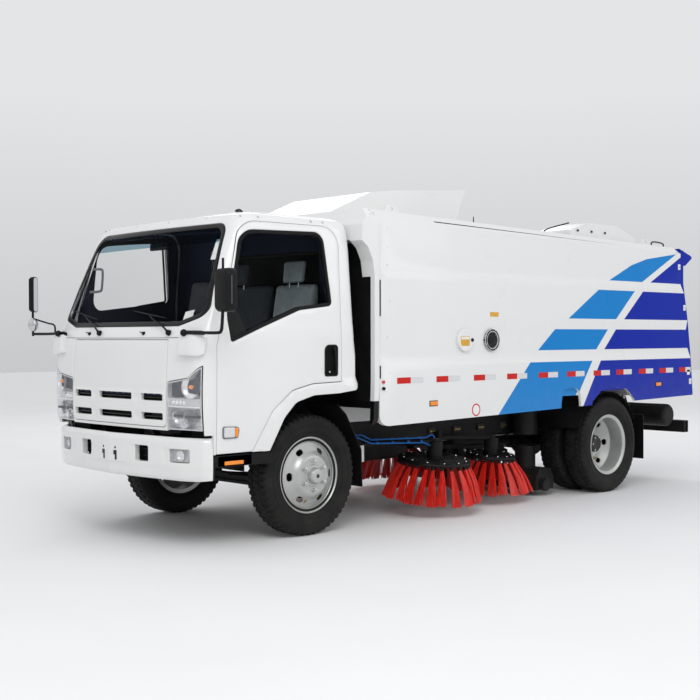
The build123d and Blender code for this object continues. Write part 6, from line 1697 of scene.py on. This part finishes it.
for y in (-0.430, 0.330):
    p = on_screen(y, 1.560, 0.001)
    wp.lathe([(0.0, 0.014), (0.010, 0.013), (0.014, 0.006), (0.015, 0.0)], p, (0.9, 0, 0.4), BLACKP, 16)
    wp.tube([tuple(Vector(p) + Vector((0.008, 0, 0.004))), tuple(Vector(p) + Vector((0.016, -0.03, 0.012)))], 0.004, BLACKP, 8, 0)
wp.make("wipers", "cab", slot="black_plastic")

ct = Shape()
# seam above the lid and the cowl line, raised roof step, drip lines, screws
for pts, r_ in (([(-0.93, 1.533), (-0.64, 1.528), (0.0, 1.5265), (0.64, 1.528), (0.90, 1.533)], 0.0018),):
    q = [on_screen(y, t, 0.0002) for y, t in [(np.interp(k, range(5), [p[0] for p in pts]), np.interp(k, range(5), [p[1] for p in pts])) for k in np.linspace(0, 4, 41)]]
    ct.tube(q, r_, SEAL, 6, 0)
for y in (-0.80, -0.35, 0.10, 0.56):
    p = Pn(np.array([float(S_of_y(y, 2.435))]), np.array([2.435]), np.array([0.0]))[0]
    ct.lathe([(0.0, 0.004), (0.006, 0.003), (0.008, 0.0)], tuple(p), (0.7, 0, 0.7), STEEL, 12)
for x in (2.75, 2.62, 2.10, 1.98):
    p = Pn(np.array([float(S_of_x(x, 2.425))]), np.array([2.425]), np.array([0.0]))[0]
    for s in (1, -1):
        ct.lathe([(0.0, 0.005), (0.008, 0.004), (0.011, 0.0)], (p[0], s * p[1], p[2]), (0, s * 0.7, 0.7), STEEL, 12)
# raised step round the roof
for s in (1, -1):
    q = [tuple(Pn(np.array([s * float(S_of_y(y, 2.500))]), np.array([2.500]), np.array([0.001]))[0]) for y in np.linspace(0, 0.80, 16)]
    q2 = [tuple(Pn(np.array([s * float(S_of_x(x, 2.500))]), np.array([2.500]), np.array([0.001]))[0]) for x in np.linspace(2.55, 1.95, 12)]
    ct.tube(q + q2, 0.0045, WHITE, 8, 2)
# round chrome cap on the roof's front corner
p = Pn(np.array([float(S_of_x(2.655, 2.520))]), np.array([2.520]), np.array([0.0]))[0]
ct.lathe([(0.030, 0.0), (0.032, 0.010), (0.026, 0.022), (0.012, 0.030), (0.0, 0.032)], (p[0], p[1], p[2]), (0, 0.25, 0.97), TRIM, 24)
ct.lathe([(0.036, 0.0), (0.034, 0.006), (0.028, 0.007)], (p[0], p[1], p[2]), (0, 0.25, 0.97), STEEL, 24)
# side marker ahead of the arch and the trim strip under the door
for s in (1, -1):
    def sp_(x, z, d):
        return tuple(Pn(np.array([s * float(S_of_x(x, z))]), np.array([z]), np.array([d]))[0])
mk = [(3.002, 0.803, 0.018), (2.862, 0.803, 0.018), (2.848, 0.886, 0.026), (3.002, 0.893, 0.018)]
tbl = [(mk, 0.013, WHITE)]
DOORPARTS = {}
for s, nm in ((1, "left_door"), (-1, "right_door")):
    d = Shape()
    q = from_side(mk, 5, 0.010)
    q = q if s > 0 else mir(q)
    panel(d, q, [], GREYP, d=0.008, depth=0.009, bev=0.003, step=0.02)
    q = from_side([(2.994, 0.812, 0.014), (2.898, 0.812, 0.010), (2.898, 0.884, 0.010), (2.994, 0.886, 0.014)], 5, 0.010)
    q = q if s > 0 else mir(q)
    panel(d, q, [], TAPEW, d=0.018, depth=0.014, bev=0.006, step=0.02)
    q = from_side([(2.894, 0.812, 0.008), (2.870, 0.812, 0.010), (2.864, 0.878, 0.012), (2.894, 0.882, 0.008)], 5, 0.010)
    q = q if s > 0 else mir(q)
    panel(d, q, [], AMBER, d=0.017, depth=0.014, bev=0.006, step=0.02)
    # handle in a dished recess, its hollow painted near-black as shade
    q = from_side(HANDLE, 6, 0.010)
    q = q if s > 0 else mir(q)
    inn = offset2(q, 0.008)
    panel(d, q, [inn], BLACKP, d=0.0045, depth=0.006, bev=0.002, step=0.02)
    V, T, li = fill(inn, [], 0.014, True)
    sc, tc_ = V[:, 0], V[:, 1]
    cs_, ctt = sc.mean(), tc_.mean()
    dp = 0.003 - 0.010 * np.clip(1 - ((sc - cs_) / 0.066) ** 2, 0, 1) * np.clip(1 - ((tc_ - ctt) / 0.118) ** 2, 0, 1)
    d.add(Pn(sc, tc_, dp), T, BLACK_AND_SHADE)
    pts = [tuple(Pn(np.array([s * float(S_of_x(x, z))]), np.array([z]), np.array([dd]))[0]) for x, z, dd in
           ((1.905, 1.262, 0.004), (1.908, 1.280, 0.012), (1.915, 1.360, 0.015), (1.922, 1.430, 0.013), (1.926, 1.448, 0.005))]
    d.tube(pts, 0.011, BLACKP, 10, 5)
    lk = Pn(np.array([s * float(S_of_x(1.975, 1.262))]), np.array([1.262]), np.array([0.002]))[0]
    d.lathe([(0.0, 0.008), (0.011, 0.008), (0.014, 0.005), (0.014, 0.0)], tuple(lk), (0, s, 0), BLACKP, 18)
    d.lathe([(0.0, 0.0086), (0.007, 0.0086)], tuple(lk), (0, s, 0), STEEL, 14)
    # inner handle, pull; g holds points of a curved grab band that is not drawn
    g = [(2.86, 1.60), (2.72, 1.72), (2.50, 1.735), (2.30, 1.71), (2.10, 1.70)]
    d.box((2.42, s * 0.940, 1.36), (2.62, s * 0.962, 1.40), BLACKP, 0.008)
    d.tube([(2.40, s * 0.948, 1.30), (2.35, s * 0.925, 1.30), (2.20, s * 0.925, 1.30), (2.15, s * 0.948, 1.30)], 0.010, BLACKP, 8, 4)
    # mirror triangle in the window's front corner
    q = from_side([(2.918, 1.502, 0.004), (2.945, 1.690, 0.01), (2.912, 1.790, 0.01), (2.842, 1.700, 0.02), (2.780, 1.562, 0.01)], 4, 0.02)
    q = q if s > 0 else mir(q)
    panel(d, q, [], BLACKP, d=-0.004, depth=0.004, bev=0.001, step=0.03)
    d.make(nm + "_fittings", nm, slot="black_plastic")
# trim under the door's sill with an orange reflector, on the cab's step
for s in (1, -1):
    ct.box((2.725, s * 0.960, 0.600), (3.080, s * 1.006, 0.683), BLACKP, 0.006)
    ct.box((2.806, s * 1.004, 0.613), (2.979, s * 1.0095, 0.641), AMBER, 0.003)
    ct.box((2.740, s * 0.76, 0.648), (3.060, s * 0.966, 0.660), BLACKP, 0.003)
    # valance under the bumper's end
    ct.box((3.060, s * 0.700, 0.508), (3.075, s * 1.000, 0.640), BLACKP, 0.004)
# blank sheet behind the screen and a sticker low on it
a = Pn(np.array([float(S_of_y(y, t)) for y, t in ((0.800, 2.10), (0.900, 2.10), (0.890, 2.25), (0.790, 2.25))]), np.array([2.10, 2.10, 2.25, 2.25]), np.full(4, -0.012))
ct.add([tuple(p) for p in a], [(0, 1, 2, 3)], PAPER)
a = Pn(np.array([float(S_of_y(y, t)) for y, t in ((0.720, 1.660), (0.815, 1.675), (0.815, 1.735), (0.720, 1.720))]), np.array([1.660, 1.675, 1.735, 1.720]), np.full(4, -0.012))
ct.add([tuple(p) for p in a], [(0, 1, 2, 3)], PAPER)
# interior mirror, grab handle, sun visors
ct.tube([(2.875, 0.02, 2.330), (2.860, 0.02, 2.290), (2.845, 0.02, 2.262)], 0.007, BLACKP, 8, 4)
ct.box((2.825, -0.105, 2.205), (2.850, 0.125, 2.265), BLACKP, 0.012)
ct.tube([(2.945, -0.800, 2.092), (2.925, -0.705, 2.088), (2.920, -0.680, 2.060), (2.920, -0.680, 1.925), (2.930, -0.705, 1.902), (2.960, -0.800, 1.898)], 0.011, GREYP, 10, 5)
for y0, y1 in ((0.16, 0.72), (-0.72, -0.16)):
    ct.box((2.60, y0, 2.318), (2.80, y1, 2.332), HEADLIN, 0.006)
ct.make("cab_trim", "cab", slot="black_plastic")

# ---------------------------------------------------------------------------
# inside the cab: dash, wheel, seats
# ---------------------------------------------------------------------------
db = Shape()
# form of the dash, swept across the cab with rounded shoulders
sec = [(3.030, 1.125), (3.030, 1.540), (3.010, 1.575), (2.970, 1.590), (2.900, 1.578), (2.820, 1.556), (2.775, 1.535), (2.750, 1.490), (2.735, 1.440), (2.745, 1.380),
       (2.765, 1.300), (2.790, 1.240), (2.850, 1.170), (2.905, 1.128)]
ys_ = np.linspace(-0.930, 0.930, 60)
vv, ff = [], []
for y in ys_:
    hood = 0.040 * math.exp(-((y - 0.45) / 0.20) ** 4)
    e = max(0.0, (abs(y) - 0.80) / 0.13)
    for x, z in sec:
        kx = 1.0 - 0.0
        zz = z + (hood * min(1.0, max(0.0, (z - 1.50) / 0.06)) * (1 if x < 2.95 else 0.3)) - (0.020 * e * e if z > 1.4 else 0)
        xx = x + (0.035 * e * e if x < 2.9 else 0.0)
        vv.append((xx, y, zz))
n_ = len(sec)
for i in range(len(ys_) - 1):
    for j in range(n_):
        ff.append((i * n_ + j, (i + 1) * n_ + j, (i + 1) * n_ + (j + 1) % n_, i * n_ + (j + 1) % n_))
ff.append(tuple(range(n_)))
ff.append(tuple(reversed([(len(ys_) - 1) * n_ + j for j in range(n_)])))
db.add(vv, ff, NAVY)
db.box((2.722, 0.26, 1.455), (2.752, 0.64, 1.560), BLACKP, 0.012)
for y in (0.36, 0.54):
    db.lathe([(0.0, 0.004), (0.050, 0.004), (0.055, 0.010), (0.060, 0.0)], (2.724, y, 1.508), (-1, 0, 0), TRIM, 32)
    db.tube([(2.718, y, 1.508), (2.718, y + 0.02, 1.540)], 0.0015, AMBER, 5, 0)
db.box((2.735, -0.16, 1.30), (2.760, 0.18, 1.52), DASHM, 0.012)
for k in range(3):
    db.box((2.728, -0.12, 1.325 + 0.062 * k), (2.742, 0.14, 1.372 + 0.062 * k), BLACKP, 0.005)
for y in (-0.86, -0.24, 0.24, 0.86):
    db.box((2.742, y - 0.05, 1.455), (2.752, y + 0.05, 1.505), BLACKP, 0.005)
    for k in range(4):
        db.box((2.738, y - 0.044, 1.463 + 0.011 * k), (2.746, y + 0.044, 1.467 + 0.011 * k), DASHM)
db.box((2.752, -0.78, 1.31), (2.766, -0.34, 1.43), DASHM, 0.01)
# steering column with its shroud and stalks
c0 = Vector((2.620, 0.450, 1.570)) - Vector((-0.60, 0, 0.80)) * 0.066
c1 = Vector((2.620, 0.450, 1.570)) - Vector((-0.60, 0, 0.80)) * 0.380
db.cyl(tuple(c1), tuple(c0), 0.036, BLACKP, 24, bev=0.006)
for s in (1, -1):
    q0 = c0 + Vector((0.02, 0, -0.02))
    db.tube([tuple(q0), tuple(q0 + Vector((0.0, s * 0.09, 0.01))), tuple(q0 + Vector((-0.01, s * 0.165, 0.02)))], 0.007, BLACKP, 8, 4)
db.make("dash_mesh", "cab", ["dashboard"], slot="black_plastic")

# steering wheel: rim, three spokes, padded boss
sw = Shape()
ax = Vector((-0.60, 0, 0.80))
co = Vector((2.620, 0.450, 1.570))
u1 = Vector((0, 1, 0))
u2 = ax.cross(u1)
K = lambda r, a, h: co + u1 * (r * math.cos(a)) + u2 * (r * math.sin(a)) + ax * h
sw.tube([tuple(K(0.215, 2 * math.pi * k / 48, 0.0)) for k in range(48)], 0.0155, BLACKP, 12, 0, closed=True)
for a in (90, 210, 330):
    a = math.radians(a)
    sw.tube([tuple(K(0.040, a, -0.038)), tuple(K(0.12, a, -0.026)), tuple(K(0.212, a, -0.002))], lambda f: 0.014 - 0.004 * f, BLACKP, 10, 5, flat=0.6)
sw.lathe([(0.0, -0.018), (0.040, -0.019), (0.052, -0.026), (0.056, -0.040), (0.044, -0.060), (0.0, -0.062)], co, ax, BLACKP, 32)
sw.make("steering_wheel_mesh", "steering_wheel", ["steering_wheel"], slot="black_plastic")

# seats
COVER = mat("seat_cover_film", (0.42, 0.44, 0.46), 0.30, coat=0.3, var=0.10, scale=16, bump=0.5, bscale=34)


def cushion(sh, sec, y0, y1, m, puff=0.016, ny=18, welts=()):
    """A padded block: a closed section in (x, z) carried across from y0 to y1, its ends drawn in and its faces swelling."""
    o = round_outline(sec, 6, 0.03)
    cx_, cz_ = sum(p[0] for p in o) / len(o), sum(p[1] for p in o) / len(o)
    vv, ff = [], []
    n = len(o)
    ys = [y0 + (y1 - y0) * (0.5 - 0.5 * math.cos(math.pi * k / ny)) for k in range(ny + 1)]
    for y in ys:
        u = 2 * (y - y0) / (y1 - y0) - 1
        end = max(0.0, 1 - (1 - abs(u)) / 0.10) if abs(u) > 0.90 else 0.0
        ins = 0.030 * (1 - math.sqrt(max(0.0, 1 - end ** 2)))
        weld = 0.0
        for w in welts:
            weld += 0.010 * math.exp(-((y - w) / 0.010) ** 2)
        q = offset2(o, ins + weld + 0.006)
        for i, (a, b) in enumerate(q):
            # swell between the edges
            k = puff * 0.35 * (1 - u * u)
            dx, dz = a - cx_, b - cz_
            l = math.hypot(dx, dz) or 1
            vv.append((a + dx / l * k * 0.5, y, b + dz / l * k * 0.5))
    for i in range(len(ys) - 1):
        for j in range(n):
            ff.append((i * n + j, i * n + (j + 1) % n, (i + 1) * n + (j + 1) % n, (i + 1) * n + j))
    ff.append(tuple(reversed(range(n))))
    ff.append(tuple((len(ys) - 1) * n + j for j in range(n)))
    sh.add(vv, ff, m)


st = Shape()
for y0, y1, mm, wl in ((0.200, 0.700, COVER, (0.300, 0.600)), (-0.740, 0.120, FABRIC, (-0.620, -0.310, 0.0))):
    cushion(st, [(1.955, 1.232, 0.03), (2.440, 1.250, 0.05), (2.458, 1.368, 0.045), (1.955, 1.340, 0.03)], y0, y1, mm, welts=wl)
    cushion(st, [(1.900, 1.295, 0.02), (1.988, 1.322, 0.04), (1.878, 1.958, 0.045), (1.794, 1.958, 0.04), (1.822, 1.295, 0.02)], y0, y1, mm, welts=wl)
    yc = (y0 + y1) / 2
    cushion(st, [(1.857, 1.965, 0.02), (1.903, 1.965, 0.02), (1.888, 2.148, 0.03), (1.822, 2.148, 0.03)], yc - 0.130, yc + 0.130, mm, ny=12)
    for k in (-0.06, 0.06):
        st.cyl((1.872, yc + k, 1.93), (1.868, yc + k, 1.99), 0.006, STEEL, 10)
    st.box((1.955, y0 + 0.065, 1.1805), (2.375, y1 - 0.065, 1.238), BLACKP, 0.01)
seat = st.make("seat_cushions", "cab", ["seats"], angle=50, slot="seat_fabric")

# ---------------------------------------------------------------------------
# rigid pipes, valves and brackets along the frame's left and right flanks
# ---------------------------------------------------------------------------
ub = Shape()
for s in (1, -1):
    Y = s * 0.405
    ub.tube([(0.262, Y, 0.664), (0.023, Y, 0.556)], 0.011, STEEL, 12, 0)
    ub.tube([(0.340, Y, 0.700), (0.262, Y, 0.664)], 0.016, BLACKP, 12, 0)
    ub.cyl((0.045, Y, 0.513), (0.046, Y, 0.430), 0.012, BRASS, 14, bev=0.002)
    ub.cyl((0.045, Y, 0.530), (0.045, Y, 0.513), 0.017, BRASS, 6)
    ub.box((-0.762, s * 0.396, 0.348), (-0.700, s * 0.404, 0.470), BRASS, 0.002)
    for k in range(4):
        ub.cyl((-0.731, s * 0.404, 0.365 + 0.028 * k), (-0.731, s * 0.410, 0.365 + 0.028 * k), 0.008, STEEL, 6)
    ub.tube([(0.380, Y, 0.598), (-1.300, Y, 0.598)], 0.009, BLACK, 12, 0)
    ub.tube([(0.380, s * 0.396, 0.572), (-1.300, s * 0.396, 0.572)], 0.006, ZINC, 12, 0)
    for x in (0.05, -0.30, -0.62, -0.95):
        ub.box((x - 0.014, s * 0.386, 0.556), (x + 0.014, s * 0.418, 0.618), BLACK, 0.003)
    # small valve block and its fittings on the rail
    for x in (0.16, -0.18, -0.52, -0.86):
        ub.box((x - 0.045, s * 0.386, 0.640), (x + 0.045, s * 0.440, 0.700), IRON, 0.004)
        for k in (-0.028, 0.0, 0.028):
            ub.cyl((x + k, s * 0.440, 0.668), (x + k, s * 0.452, 0.668), 0.008, BRASS, 6)
# reservoir ahead of the auxiliary engine
ub.cyl((1.235, 0.610, 0.480), (1.235, 0.610, 0.620), 0.026, PAPER, 20, bev=0.006)
ub.cyl((1.235, 0.610, 0.620), (1.235, 0.610, 0.640), 0.018, BLACKP, 16, bev=0.003)
ub.box((1.190, 0.440, 0.500), (1.240, 0.586, 0.512), BLACK, 0.002)
ub.make("frame_pipes", "chassis", slot="black_steel")

def plain(b):
    return [[float(v) for v in q] for q in b] if hasattr(b[0], "__len__") else [float(v) for v in b]


{"cad": plain(CADBOX), "visual": plain(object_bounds())}
